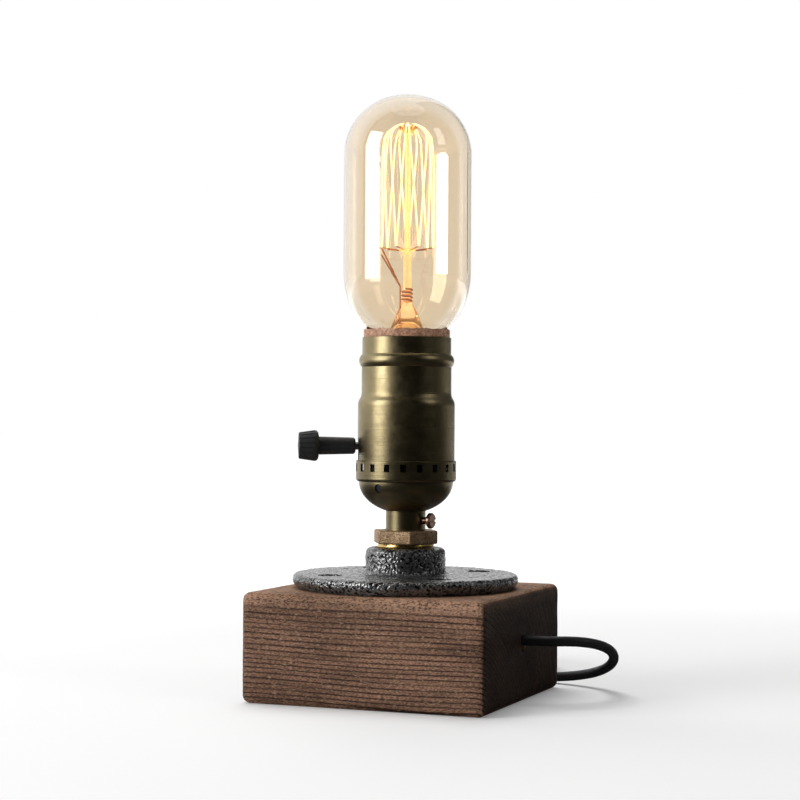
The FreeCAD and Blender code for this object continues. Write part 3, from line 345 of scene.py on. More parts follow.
def ring_phase_nodes(tree, place):
    """The same formula in shader nodes."""
    spot = put(tree, "ShaderNodeVectorMath", {0: place, "Scale": 1000.0}, operation="SCALE")
    axes = put(tree, "ShaderNodeSeparateXYZ", {0: spot.outputs[0]}).outputs
    away_y = calc(tree, "SUBTRACT", axes[1], heart_y)
    away_z = calc(tree, "SUBTRACT", axes[2], heart_z)
    square = calc(tree, "MULTIPLY_ADD", away_y, away_y, calc(tree, "MULTIPLY", away_z, away_z))
    sway = calc(tree, "SINE", calc(tree, "MULTIPLY_ADD", axes[0], 1 / sway_length, sway_start))
    lean = calc(tree, "MULTIPLY", axes[2], 1 / twist_rise)
    twist = calc(tree, "SINE", calc(tree, "MULTIPLY_ADD", axes[0], 1 / twist_length, lean))
    distance = calc(tree, "MULTIPLY_ADD", sway, sway_depth, calc(tree, "SQRT", square))
    distance = calc(tree, "MULTIPLY_ADD", twist, twist_depth, distance)
    years = calc(tree, "SINE", calc(tree, "MULTIPLY_ADD", distance, 1 / gap_length, gap_start))
    closeness = calc(tree, "MULTIPLY_ADD", distance, -ring_thinning, ring_density)
    rings = calc(tree, "MULTIPLY", distance, closeness)
    return calc(tree, "MULTIPLY_ADD", years, gap_depth, rings)


# %% [markdown]
# The block itself starts as a cube. It is scaled to size, its edges are
# rounded, and then it is sliced finely across the grain, because the grooves
# need points to move. The bores are cut last, with a boolean modifier.

# %% Wooden block
block_size = Vector((88.0, 84.0, 38.0))
edge_round = 2.6
groove_depth = 0.06
groove_share = 0.33                       # where between two rings the groove begins
dent_depth = 0.12
dent_level = 0.4                          # lets most of the surface sink, not rise
flat_foot = 0.3                           # the underside stays plane up to here


def slices(shape, axis, first, last, step):
    """Cuts a mesh into slices at right angles to an axis."""
    normal = Vector([1.0 if index == axis else 0.0 for index in range(3)])
    place = first + step
    while place < last - step / 2:
        everything = shape.verts[:] + shape.edges[:] + shape.faces[:]
        bmesh.ops.bisect_plane(shape, geom=everything, dist=1e-7,
                               plane_co=normal * place * mm, plane_no=normal)
        place += step


def finish_piece(shape, name, body, node=None, sharp=35):
    """Turns a bmesh into a piece that rides on a body and may stand for a node."""
    mesh = bpy.data.meshes.new(name)
    shape.to_mesh(mesh)
    shape.free()
    mesh.shade_smooth()
    mesh.set_sharp_from_angle(angle=math.radians(sharp))
    piece = bpy.data.objects.new(name, mesh)
    bpy.context.scene.collection.objects.link(piece)
    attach(piece, body)
    if node:
        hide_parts(node)
    print(name, "has", len(mesh.polygons), "faces")
    return piece


shape = bmesh.new()
bmesh.ops.create_cube(shape, size=1.0)
bmesh.ops.scale(shape, vec=block_size * mm, verts=shape.verts[:])
bmesh.ops.translate(shape, vec=(0, 0, block_size.z / 2 * mm), verts=shape.verts[:])
bmesh.ops.bevel(shape, geom=shape.edges[:], offset=edge_round * mm, segments=4, profile=0.5,
                affect="EDGES", material=-1)
slices(shape, 0, -block_size.x / 2, block_size.x / 2, 4.0)
slices(shape, 1, -block_size.y / 2, block_size.y / 2, 0.6)
slices(shape, 2, 0.0, block_size.z, 0.5)
shape.normal_update()
for vert in shape.verts:
    x, y, z = vert.co / mm
    if z < flat_foot:
        continue
    wave = 0.5 - 0.5 * math.cos(math.tau * (ring_phase(x, y, z) - groove_share))
    dent = noise.noise(Vector((x / 22, y / 9, z / 9))) + dent_level
    sunk = groove_depth * wave + dent_depth * dent
    vert.co -= vert.normal * max(0.0, sunk) * mm
wooden_block = finish_piece(shape, "wooden_block", "root", node="wood_base")


# %% [markdown]
# Cutters are plain tools, not pieces: a cylinder is made where a bore is
# wanted, subtracted, and thrown away once the boolean has been applied.

# %% Bores
def cut_bore(piece, start, end, radius, sides=48):
    """Subtracts a round bore between two points, in mm."""
    start, end = Vector(start) * mm, Vector(end) * mm
    tool = bmesh.new()
    bmesh.ops.create_cone(tool, cap_ends=True, segments=sides, radius1=radius * mm,
                          radius2=radius * mm, depth=(end - start).length)
    aimed = (end - start).to_track_quat("Z", "Y").to_matrix().to_4x4()
    bmesh.ops.transform(tool, matrix=Matrix.Translation((start + end) / 2) @ aimed,
                        verts=tool.verts[:])
    mesh = bpy.data.meshes.new("cutter")
    tool.to_mesh(mesh)
    tool.free()
    cutter = bpy.data.objects.new("cutter", mesh)
    bpy.context.scene.collection.objects.link(cutter)
    step = piece.modifiers.new("bore", "BOOLEAN")
    step.operation = "DIFFERENCE"
    step.solver = "EXACT"
    step.object = cutter
    settle(piece)
    bpy.data.objects.remove(cutter)
    bpy.data.meshes.remove(mesh)


def settle(piece):
    """Applies all modifiers of a piece to its mesh."""
    graph = bpy.context.evaluated_depsgraph_get()
    result = bpy.data.meshes.new_from_object(piece.evaluated_get(graph), depsgraph=graph)
    piece.modifiers.clear()
    old = piece.data
    piece.data = result
    bpy.data.meshes.remove(old)


cord_bore_height = 20.5
cord_bore_radius = 3.0
wiring_bore_radius = 8.0
cut_bore(wooden_block, (30, 0, cord_bore_height), (50, 0, cord_bore_height), cord_bore_radius)
cut_bore(wooden_block, (0, 0, -5), (0, 0, 45), wiring_bore_radius)
print("bored block has", len(wooden_block.data.polygons), "faces")

# %% [markdown]
# The late band of each ring is a thin dark line, and the sawn end is almost black, because it drinks up
# the stain. The top and the upper edges are lighter: partly wear, partly a painted highlight where they
# face the light. Fine streaks along the grain and small pale specks finish it.

# %% Stained wood
early_dark, early_light = (0.145, 0.074, 0.044), (0.240, 0.129, 0.081)
late_line = (0.030, 0.012, 0.007)
pale_speck = (0.46, 0.31, 0.20)
wear_and_highlight_colour = (0.47, 0.275, 0.175)
end_darkening = 0.20

stained_wood, tree, shader = new_finish("stained_wood", Specular_IOR_Level=0.25)
coordinates = put(tree, "ShaderNodeTexCoord").outputs
phase = ring_phase_nodes(tree, coordinates["Object"])


def stretched_noise(along, across, detail):
    """Noise drawn out along the grain: lumps per metre along and across it."""
    inputs = {"Vector": coordinates["Object"], "Scale": (along, across, across)}
    scaled = put(tree, "ShaderNodeMapping", inputs)
    inputs = {"Vector": scaled.outputs[0], "Scale": 1.0, "Detail": detail, "Roughness": 0.65}
    return put(tree, "ShaderNodeTexNoise", inputs).outputs[0]


streak = stretched_noise(45.0, 700.0, 3.0)
fibre = stretched_noise(900.0, 2600.0, 2.0)
cloud = stretched_noise(25.0, 60.0, 3.0)
share = calc(tree, "FRACT", calc(tree, "MULTIPLY_ADD", streak, 0.16, phase))
rising = fade(tree, share, 0.50, 0.78)
falling = fade(tree, share, 0.88, 0.97, 1.0, 0.0)
late_band = calc(tree, "MULTIPLY", rising, falling)
broken = fade(tree, stretched_noise(22.0, 330.0, 2.0), 0.33, 0.55, 0.62, 1.0)
late_band = calc(tree, "MULTIPLY", late_band, broken)
early = blend_colours(tree, fade(tree, cloud, 0.35, 0.65), early_dark, early_light)
speckle = fade(tree, fibre, 0.33, 0.67, 0.45, 1.6)
speckle = calc(tree, "MULTIPLY", speckle, fade(tree, streak, 0.3, 0.7, 0.75, 1.2))
early = scale_colour(tree, early, speckle)
wood_colour = blend_colours(tree, late_band, early, late_line)
bleached = fade(tree, stretched_noise(500.0, 1500.0, 3.0), 0.56, 0.70, 0.0, 0.55)
wood_colour = blend_colours(tree, bleached, wood_colour, pale_speck)
# The top and the upper edges get a lighter colour, partly wear and partly a painted highlight.
near_top = fade(tree, height_in_metres(tree), 0.0318, 0.0362)
wear_and_highlight = calc(tree, "MULTIPLY", near_top, fade(tree, fibre, 0.36, 0.6))
wear_and_highlight = calc(tree, "MULTIPLY", wear_and_highlight, fade(tree, cloud, 0.3, 0.6, 0.4, 1.0))
wood_colour = blend_colours(tree, wear_and_highlight, wood_colour, wear_and_highlight_colour)
facing = put(tree, "ShaderNodeSeparateXYZ", {0: coordinates["Normal"]}).outputs[0]
end_grain = fade(tree, calc(tree, "ABSOLUTE", facing), 0.6, 0.9)
end_colour = scale_colour(tree, wood_colour, end_darkening)
wood_colour = blend_colours(tree, end_grain, wood_colour, end_colour)
tree.links.new(wood_colour, shader.inputs["Base Color"])
tree.links.new(fade(tree, fibre, 0.3, 0.7, 0.8, 0.6), shader.inputs["Roughness"])
relief = calc(tree, "MULTIPLY_ADD", late_band, -0.5, calc(tree, "MULTIPLY", fibre, 0.6))
add_relief(tree, relief, strength=0.5, distance=0.0002)
wooden_block.data.materials.clear()
wooden_block.data.materials.append(stained_wood)
print("stained wood:", len(tree.nodes), "nodes")

# %% [markdown]
# Round pieces are turned: half of the section is drawn once and spun about
# the lamp's axis, as a lathe would do it. Corners are then rounded ring by
# ring with the bevel operator, each with its own width.

# %% Turning helper
def drawn(outline):
    """A line through (radius, height) points in mm, as a new bmesh."""
    shape = bmesh.new()
    spots = [shape.verts.new((radius * mm, 0.0, height * mm)) for radius, height in outline]
    for first, second in zip(spots, spots[1:]):
        shape.edges.new((first, second))
    return shape


def turned(outline, steps, rounded=()):
    """Spins an outline of (radius, height) points in mm and rounds some corners."""
    shape = drawn(outline)
    bmesh.ops.spin(shape, geom=shape.verts[:] + shape.edges[:], cent=(0, 0, 0), axis=(0, 0, 1),
                   angle=math.tau, steps=steps, use_merge=True)
    bmesh.ops.remove_doubles(shape, verts=shape.verts[:], dist=1e-6)
    bmesh.ops.recalc_face_normals(shape, faces=shape.faces[:])
    for radius, height, width, segments in rounded:
        ring = [edge for edge in shape.edges if all(
            abs(vert.co.xy.length / mm - radius) < 0.01 and abs(vert.co.z / mm - height) < 0.01
            for vert in edge.verts)]
        bmesh.ops.bevel(shape, geom=ring, offset=width * mm, segments=segments, profile=0.5,
                        affect="EDGES", material=-1)
    return shape


def roughen(shape, size, depth, seed=0.0, keep=None):
    """Pushes points in and out by noise: size of the lumps and depth in mm."""
    shape.normal_update()
    for vert in shape.verts:
        if keep and keep(vert.co / mm):
            continue
        lump = noise.fractal(vert.co / (size * mm) + Vector((seed, seed, seed)), 1.0, 2.0, 3)
        vert.co += vert.normal * lump * depth * mm


# %% [markdown]
# The floor flange is grey iron, cast in sand and oiled black. Its top is flat,
# with a shallow line round the hub through the screw holes. Its rim is rounded,
# and the sand has left lumps everywhere but in the bore and on the underside,
# which were machined. Four holes take the screws.

# %% Iron floor flange
def finer_rings(shape, step):
    """Adds rings to a turned shape, about a step apart in mm, for the noise to move."""
    meridians = {}
    for edge in shape.edges:
        first, second = (Vector((vert.co.xy.length, vert.co.z)) for vert in edge.verts)
        cuts = round((first - second).length / (step * mm)) - 1
        if cuts > 0:
            meridians.setdefault(cuts, []).append(edge)
    for cuts in sorted(meridians):
        bmesh.ops.subdivide_edges(shape, edges=meridians[cuts], cuts=cuts, use_grid_fill=True)


def machined(spot):
    """Tells whether a point lies on the flange's underside or in its bore."""
    return spot.z < 38.3 or math.hypot(spot.x, spot.y) < 10.6


screw_circle = 28.5
screw_hole_radius = 4.3
flange_outline = [
    (10.4, 38.0), (38.3, 38.0), (39.9, 40.7), (39.5, 43.0), (29.6, 43.0), (29.2, 42.75), (28.8, 43.0),
    (14.1, 43.0), (14.1, 52.2), (10.9, 52.2), (10.4, 51.7), (10.4, 38.0),
]
flange_rounding = [                       # radius, height, width, segments
    (39.5, 43.0, 1.3, 6), (39.9, 40.7, 0.8, 4), (14.1, 43.0, 1.8, 5), (14.1, 52.2, 2.0, 5),
]
shape = turned(flange_outline, steps=256, rounded=flange_rounding)
finer_rings(shape, 0.8)
roughen(shape, 1.5, 0.19, keep=machined)
iron_flange = finish_piece(shape, "iron_flange", "root", node="floor_flange", sharp=60)
for corner in range(4):
    angle = math.radians(45 + 90 * corner)
    spot = (screw_circle * math.cos(angle), screw_circle * math.sin(angle))
    cut_bore(iron_flange, (*spot, 37), (*spot, 46), screw_hole_radius, sides=32)
print("drilled flange has", len(iron_flange.data.polygons), "faces")

# %% [markdown]
# Oiled cast iron is a dark grey that shines on every lump. It is part metal,
# part oxide skin, so the metallic share stays below one. The screws in it are
# blackened steel.

# %% Cast iron
cast_iron, tree, shader = new_finish("oiled_cast_iron", Metallic=0.75, Specular_IOR_Level=0.6)
lumps = use_effect(tree, cast_lumps, per_metre=1000.0)
skin = use_effect(tree, mottling, per_metre=160.0, low=0.0, high=1.0)[0]
colour = blend_colours(tree, skin, (0.15, 0.15, 0.15), (0.30, 0.30, 0.295))
colour = blend_colours(tree, lumps[1], colour, (0.012, 0.012, 0.012))
tree.links.new(colour, shader.inputs["Base Color"])
tree.links.new(fade(tree, skin, 0.0, 1.0, 0.14, 0.22), shader.inputs["Roughness"])
add_relief(tree, lumps[0], strength=1.0, distance=0.00058)
iron_flange.data.materials.clear()
iron_flange.data.materials.append(cast_iron)

black_oxide = mottled_finish("black_oxide", 600.0, 0.3, 0.5,
                             Base_Color=(0.02, 0.02, 0.022, 1.0), Metallic=0.6)
dress(black_oxide, "flange_screws")

# %% [markdown]
# The reducing bushing was cast in brass too. Its hexagon keeps the sandy skin,
# and only the thread below it is machined, so it alone is bright.

# %% Brass bushing
across_flats = 21.0
hex_foot = 53.6
hex_top = 58.3
hex_rounding = 0.55
slice_width = 0.6
corner_radius = across_flats / 2 / math.cos(math.radians(30)) * mm
lifted = Matrix.Translation((0, 0, (hex_foot + hex_top) / 2 * mm))
shape = bmesh.new()
bmesh.ops.create_cone(shape, cap_ends=True, segments=6, radius1=corner_radius,
                      radius2=corner_radius, depth=(hex_top - hex_foot) * mm, matrix=lifted)
bmesh.ops.rotate(shape, cent=(0, 0, 0), matrix=Matrix.Rotation(math.radians(30), 3, "Z"),
                 verts=shape.verts[:])
bmesh.ops.bevel(shape, geom=shape.edges[:], offset=hex_rounding * mm, segments=4, profile=0.5,
                affect="EDGES", material=-1)
slices(shape, 0, -12.2, 12.2, slice_width)
slices(shape, 1, -10.6, 10.6, slice_width)
slices(shape, 2, hex_foot, hex_top, slice_width)
roughen(shape, 0.9, 0.09, seed=5.0)
brass_hexagon = finish_piece(shape, "brass_hexagon", "root", sharp=70)

thread_pitch = 1.81
thread_turns = 3
steps_per_turn = 96
thread_foot = 48.9
shape = drawn([(9.8, thread_foot), (10.1, 49.5), (10.1, 49.7), (9.8, 50.3),
               (9.8, thread_foot + thread_pitch)])
bmesh.ops.spin(shape, geom=shape.verts[:] + shape.edges[:], cent=(0, 0, 0), axis=(0, 0, 1),
               dvec=(0, 0, thread_pitch / steps_per_turn * mm), angle=math.tau * thread_turns,
               steps=steps_per_turn * thread_turns)
bmesh.ops.remove_doubles(shape, verts=shape.verts[:], dist=1e-6)
bmesh.ops.recalc_face_normals(shape, faces=shape.faces[:])
pipe_thread = finish_piece(shape, "pipe_thread", "root", sharp=50)
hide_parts("hex_bushing")

# %% [markdown]
# Two finishes of one metal: the sandy skin is pinkish tan and dull, and the
# machined thread is bright yellow.

# %% Cast and machined brass
cast_brass, tree, shader = new_finish("cast_brass", Metallic=0.85)
lumps = use_effect(tree, cast_lumps, per_metre=2400.0)
skin = use_effect(tree, mottling, per_metre=300.0, low=0.0, high=1.0)[0]
colour = blend_colours(tree, skin, (0.36, 0.235, 0.13), (0.55, 0.39, 0.235))
colour = blend_colours(tree, lumps[1], colour, (0.20, 0.12, 0.065))
tree.links.new(colour, shader.inputs["Base Color"])
tree.links.new(fade(tree, skin, 0.0, 1.0, 0.55, 0.42), shader.inputs["Roughness"])
add_relief(tree, lumps[0], strength=0.7, distance=0.0003)
brass_hexagon.data.materials.append(cast_brass)

machined_brass = mottled_finish("machined_brass", 400.0, 0.2, 0.35,
                                Base_Color=(0.70, 0.50, 0.19, 1.0), Metallic=1.0)
pipe_thread.data.materials.append(machined_brass)
dress(machined_brass, "terminal_plates", "terminal_screws", "switch_contacts", "centre_contact",
      "screw_shell", "plug_blades")

# %% [markdown]
# The holder's cap and shell are pressed from thin brass sheet, blackened with
# acid and rubbed back, which gives an olive brown with a soft, broad shine.
# Its colour is made darker towards the foot.
# Their constructed shapes are right, so only the finish is new.

# %% Antique brass
antique_brass = mottled_finish("antique_brass", 250.0, 0.30, 0.40, Metallic=1.0)
tree = antique_brass.node_tree
patina = use_effect(tree, mottling, per_metre=90.0, low=0.0, high=1.0)[0]
colour = blend_colours(tree, patina, (0.27, 0.22, 0.12), (0.335, 0.275, 0.152))
# The colour is darker towards the foot.
foot_darkening = fade(tree, height_in_metres(tree), 0.080, 0.108, 0.68, 1.0)
colour = scale_colour(tree, colour, foot_darkening)
tree.links.new(colour, tree.nodes["Principled BSDF"].inputs["Base Color"])
rings = use_effect(tree, lathe_rings, per_metre=2200.0)[0]
add_relief(tree, rings, strength=0.18, distance=0.0002)
dress(antique_brass, "socket_cap", "socket_shell")

# %% [markdown]
# The small thumb screw in the cap's neck is a redder bronze. The threaded tube,
# the rivets and the knob's shaft are plain steel.

# %% Screw and steel
bronze_screw = mottled_finish("bronze_screw", 500.0, 0.22, 0.36,
                              Base_Color=(0.22, 0.14, 0.10, 1.0), Metallic=1.0)
dress(bronze_screw, "cap_set_screw")

plain_steel = mottled_finish("plain_steel", 400.0, 0.3, 0.45,
                             Base_Color=(0.45, 0.45, 0.46, 1.0), Metallic=1.0)
dress(plain_steel, "lamp_nipple", "body_rivets", "switch_shaft")

# %% [markdown]
# A tube of vulcanised fibre insulates the shell. It is a red-brown paper
# board, and where it was cut its edge is ragged and a little furry.

# %% Fibre tube
tube_inner, tube_outer = 14.7, 15.2
tube_levels = [82.2, 90.0, 126.0, 127.4, 128.3, 128.9]
ragged_from = 126.5
ragged_height = 2.4
wave_depth, fuzz_depth, fray_depth = 0.35, 0.22, 0.08
outside = [(tube_outer, level) for level in tube_levels]
inside = [(tube_inner, level) for level in reversed(tube_levels)]
shape = turned([inside[-1]] + outside + inside, steps=240)
for vert in shape.verts:
    x, y, z = vert.co / mm
    if z > ragged_from:
        angle = math.atan2(y, x)
        ragged = noise.noise(Vector((6 * math.cos(angle), 6 * math.sin(angle), 2.0)))
        fuzz = noise.noise(Vector((30 * math.cos(angle), 30 * math.sin(angle), z)))
        share = (z - ragged_from) / ragged_height
        vert.co.z += share * (wave_depth * ragged + fuzz_depth * fuzz) * mm
        vert.co += Vector((math.cos(angle), math.sin(angle), 0)) * fray_depth * fuzz * mm
fibre_tube = finish_piece(shape, "fibre_tube", "root", node="shell_liner", sharp=60)

# %% [markdown]
# One noise of light and dark fibres colours the board and roughens it.

# %% Red fibre
red_fibre, tree, shader = new_finish("red_fibre", Specular_IOR_Level=0.5)
place = put(tree, "ShaderNodeTexCoord").outputs["Object"]
inputs = {"Vector": place, "Scale": 900.0, "Detail": 5.0, "Roughness": 0.75}
fibres = put(tree, "ShaderNodeTexNoise", inputs).outputs[0]
dark_fibre, light_fibre = (0.24, 0.095, 0.050), (0.70, 0.40, 0.25)
colour = blend_colours(tree, fade(tree, fibres, 0.3, 0.7), dark_fibre, light_fibre)
tree.links.new(colour, shader.inputs["Base Color"])
tree.links.new(fade(tree, fibres, 0.3, 0.7, 0.6, 0.42), shader.inputs["Roughness"])
add_relief(tree, fibres, strength=0.8, distance=0.0002)
fibre_tube.data.materials.append(red_fibre)

# %% [markdown]
# The knob, the switch body and its cover are moulded in black phenolic, which
# has the fine grain of its mould and a gloss that wear has made uneven. The
# cap's paper lining is just as black.

# %% Black phenolic
phenolic = mottled_finish("black_phenolic", 500.0, 0.38, 0.55,
                          Base_Color=(0.020, 0.020, 0.020, 1.0), Specular_IOR_Level=0.45)
add_mould_grain(phenolic, 2200.0, strength=0.35)
dress(phenolic, "turn_knob", "switch_body", "switch_cover", "switch_rotor", "cap_liner")

# %% [markdown]
# The bulb's glass has an amber coat. Seen straight on, the light crosses it
# twice and turns tan. Towards the sides the curved wall bends the white of
# the background round, so it turns pale, and its very edge is a brown line.
# The pale sides and the brown edge are painted into the glass's colour, and Layer Weight tells these
# zones apart. Transmission stays a plain value.

# %% Amber glass
tan_middle, pale_side, brown_edge = (0.875, 0.775, 0.635), (0.955, 0.915, 0.86), (0.80, 0.62, 0.44)
amber_glass, tree, shader = new_finish("amber_glass", Roughness=0.0, IOR=1.7,
                                       Transmission_Weight=1.0)
slant = put(tree, "ShaderNodeLayerWeight", {"Blend": 0.5}).outputs["Facing"]
# Pale sides and a brown edge are painted into the tint.
tint = blend_colours(tree, fade(tree, slant, 0.34, 0.50), tan_middle, pale_side)
tint = blend_colours(tree, fade(tree, slant, 0.80, 0.97), tint, brown_edge)
tree.links.new(tint, shader.inputs["Base Color"])
dress(amber_glass, "bulb_glass")

# %% [markdown]
# The stem is blown in one piece: a flared foot that is fused into the bulb's
# neck, a press where the wires come through, and a rod that carries a button
# and, at its top, a funnel shaped bead for the upper hooks. It is turned, and
# the press is then pinched flat, as the glassblower's tongs do it.

# %% Glass stem
hollow_outline = [
    (0.0, 131.4), (1.9, 131.2), (3.2, 129.8), (4.5, 128.2), (6.3, 126.0), (8.8, 124.0), (12.2, 122.6),
]
stem_outline = [
    (14.0, 122.8), (12.4, 123.1), (9.4, 124.6), (7.0, 126.8), (5.2, 129.4), (4.0, 131.8), (3.2, 134.2),
    (2.5, 136.2), (1.8, 137.8), (1.5, 139.5), (1.45, 156.3), (2.2, 156.6), (2.9, 157.0), (2.9, 157.4),
    (2.2, 157.8), (1.0, 158.0), (0.95, 195.6), (1.3, 197.2), (2.1, 199.0), (2.7, 200.2), (2.3, 201.2),
    (0.0, 201.6),
]
tongs_angle = 0.38
tongs_direction = Vector((-math.sin(tongs_angle), math.cos(tongs_angle), 0))
press_foot, press_top = 127.0, 139.0
press_fade_in, press_fade_out = 5.0, 2.0
press_thinning, press_widening = 0.45, 0.25
shape = turned(hollow_outline + stem_outline, steps=64)
finer_rings(shape, 1.2)
for vert in shape.verts:
    over_foot = (vert.co.z / mm - press_foot) / press_fade_in
    under_top = (press_top - vert.co.z / mm) / press_fade_out
    pinched = min(1.0, max(0.0, over_foot)) * min(1.0, max(0.0, under_top))
    vert.co += tongs_direction * vert.co.dot(tongs_direction) * -press_thinning * pinched
    vert.co.xy *= 1 + press_widening * pinched
glass_stem = finish_piece(shape, "glass_stem", "bulb", node="bulb_stem", sharp=60)

# %% [markdown]
# The stem's glass is lit from above by the filament, and that light is painted into it as emission. It
# glows orange along the rod, yellower near the filament, and hardly at all at its foot.

# %% Glass of the stem
rod_glow, upper_glow, foot_glow = (0.34, 0.16, 0.055), (0.36, 0.25, 0.07), (0.03, 0.015, 0.006)
stem_glass, tree, shader = new_finish("stem_glass", Roughness=0.02, IOR=1.5,
                                      Transmission_Weight=0.9, Emission_Strength=1.0)
height = height_in_metres(tree)
# The glow is painted filament light.
glow = blend_colours(tree, fade(tree, height, 0.150, 0.162), rod_glow, upper_glow)
glow = blend_colours(tree, fade(tree, height, 0.126, 0.139), foot_glow, glow)
tree.links.new(glow, shader.inputs["Emission Color"])
swirl = use_effect(tree, mottling, per_metre=300.0, low=0.0, high=1.0)[0]
tint = blend_colours(tree, swirl, (1.0, 0.80, 0.50), (1.0, 0.90, 0.70))
tree.links.new(tint, shader.inputs["Base Color"])
glass_stem.data.materials.append(stem_glass)

# %% [markdown]
# The bulb's screw base is rolled from thin brass. Black glass insulates its
# foot, and the contact under it is a drop of solder.

# %% Bulb base
black_glass = mottled_finish("black_glass", 300.0, 0.05, 0.15,
                             Base_Color=(0.01, 0.01, 0.012, 1.0))
dress(black_glass, "bulb_insulator")

rolled_brass = mottled_finish("rolled_brass", 500.0, 0.25, 0.4,
                              Base_Color=(0.60, 0.45, 0.22, 1.0), Metallic=1.0)
dress(rolled_brass, "bulb_cap")

dull_solder = mottled_finish("dull_solder", 900.0, 0.35, 0.6,
                             Base_Color=(0.5, 0.5, 0.52, 1.0), Metallic=1.0)
dress(dull_solder, "bulb_tip")

# %% [markdown]
# The lamp is lit. One long filament zigzags between seven hooks at the top of
# the stem and seven at its foot, so its fourteen strands meet in pairs and
# lean to and fro. At the top each strand bends over like the rib of an
# umbrella.

# %% Filament
slack = random.Random(7)
cage_top = 201.7
cage_foot = 157.9
hook_count = 7
upper_gap = 3.5                           # degrees by which a strand misses its upper hook
camera_left = camera_side + 180           # degrees, as seen from above
first_hook = camera_left + 180 / (2 * hook_count)
strand_radius = 0.27
strands = round_curve("glowing_strands", strand_radius, resolution=8, bevel_resolution=3)
for count in range(2 * hook_count):
    lower_angle = math.radians(first_hook + 360 / hook_count * (count // 2))
    side = 1 if count % 2 == 0 else -1
    upper_angle = lower_angle + side * math.radians(180 / hook_count - upper_gap)
    upper_angle += slack.uniform(-0.05, 0.05)
    reach = slack.uniform(8.7, 9.6)
    stations = [                          # radius, height, share of the way to the lower hook
        (2.3, cage_top, 0.0), (4.6, cage_top - 0.4, 0.0), (reach - 0.9, cage_top - 3.2, 0.04),
        (reach, cage_top - 8.5, 0.12), (reach + slack.uniform(-0.5, 0.3), cage_top - 26, 0.55),
        (9.2, cage_foot, 0.97),
    ]
    spots = []
    for radius, height, share in stations:
        angle = upper_angle + (lower_angle - upper_angle) * share
        spots.append((radius * math.cos(angle), radius * math.sin(angle), height))
    add_spline(strands, spots)
glowing_strands = bpy.data.objects.new("glowing_strands", strands)
bpy.context.scene.collection.objects.link(glowing_strands)
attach(glowing_strands, "bulb")
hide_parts("filament")
print("strands:", len(strands.splines))

# %% [markdown]
# Hot carbon shines yellow white, and here and there a little more orange.

# %% Hot carbon
hot_carbon, tree, shader = new_finish("hot_carbon", Base_Color=(1.0, 0.8, 0.5, 1.0), Roughness=0.5,
                                      Emission_Strength=2.6)
glow_mottle = use_effect(tree, mottling, per_metre=60.0, low=0.0, high=1.0)[0]
shine = blend_colours(tree, glow_mottle, (1.0, 0.62, 0.25), (1.0, 0.80, 0.46))
tree.links.new(shine, shader.inputs["Emission Color"])
strands.materials.append(hot_carbon)

# %% [markdown]
# The support hooks and the lead wires are copper coloured and lit by the filament, whose warm orange
# light is painted into their colour.

# %% Wires in the bulb
warm_copper, tree, shader = new_finish("warm_copper", Metallic=0.9, Roughness=0.35)
glow_mottle = use_effect(tree, mottling, per_metre=200.0, low=0.0, high=1.0)[0]
# The orange is painted filament light.
colour = blend_colours(tree, glow_mottle, (0.35, 0.10, 0.03), (0.75, 0.33, 0.10))
tree.links.new(colour, shader.inputs["Base Color"])
dress(warm_copper, "bulb_leads", "stem_wrap", "filament_supports")

# %% [markdown]
# The room has a pale floor and a white background. The floor is lit where the
# lamp stands, so that it keeps a soft shadow, and fades into the same white
# further away. The metal must not mirror a white floor, so in front of the lamp
# it is dark for the rays that leave a shiny surface, but not for those that
# have come through the glass.

# %% Floor
def stage_piece(shape, name):
    """Turns a bmesh into a part of the room."""
    mesh = bpy.data.meshes.new(name)
    shape.to_mesh(mesh)
    shape.free()
    piece = bpy.data.objects.new(name, mesh)
    bpy.context.scene.collection.objects.link(piece)
    return piece


shape = bmesh.new()
bmesh.ops.create_grid(shape, x_segments=1, y_segments=1, size=8.0)
pale_ground = stage_piece(shape, "pale_ground")
ground_paint, tree, shader = new_finish("ground_paint", Base_Color=(0.9, 0.9, 0.9, 1.0), Roughness=1.0,
                                        Specular_IOR_Level=0.0, Emission_Color=(1.0, 1.0, 1.0, 1.0))
place = put(tree, "ShaderNodeTexCoord").outputs["Object"]
away = put(tree, "ShaderNodeVectorMath", {0: place}, operation="LENGTH").outputs["Value"]
looking = put(tree, "ShaderNodeLightPath").outputs
axes = put(tree, "ShaderNodeSeparateXYZ", {0: place}).outputs
away_x, away_y = -0.37, 0.93              # the camera's heading on the floor
behind = calc(tree, "MULTIPLY_ADD", axes[1], away_y, calc(tree, "MULTIPLY", axes[0], away_x))
through_glass = calc(tree, "MINIMUM", looking["Transmission Depth"], 1.0)
pale = calc(tree, "MAXIMUM", fade(tree, behind, 0.05, 0.6), through_glass)
mirrored = calc(tree, "MULTIPLY", pale, calc(tree, "SUBTRACT", 1.0, looking["Is Diffuse Ray"]))
shown = calc(tree, "MAXIMUM", looking["Is Camera Ray"], mirrored)
own_light = calc(tree, "MULTIPLY", fade(tree, away, 0.15, 1.1, 0.15, 1.0), shown)
tree.links.new(own_light, shader.inputs["Emission Strength"])
hidden = calc(tree, "MULTIPLY", looking["Is Glossy Ray"], calc(tree, "SUBTRACT", 1.0, pale))
dark = put(tree, "ShaderNodeBsdfDiffuse", {"Color": (0.05, 0.05, 0.05, 1.0)})
leave = tree.nodes["Material Output"]
mixed = put(tree, "ShaderNodeMixShader", {0: hidden, 1: shader.outputs[0], 2: dark.outputs[0]})
tree.links.new(mixed.outputs[0], leave.inputs["Surface"])
pale_ground.data.materials.append(ground_paint)

# %% [markdown]
# In front of the lamp the studio is dark, and to its right there is a dim grey
# curtain. Only mirrored rays see them. They give the brass its dark middle and
# the thin olive line at its right edge.

# %% Curtains
curtain_distance = 2.3
curtain_height = 7.0


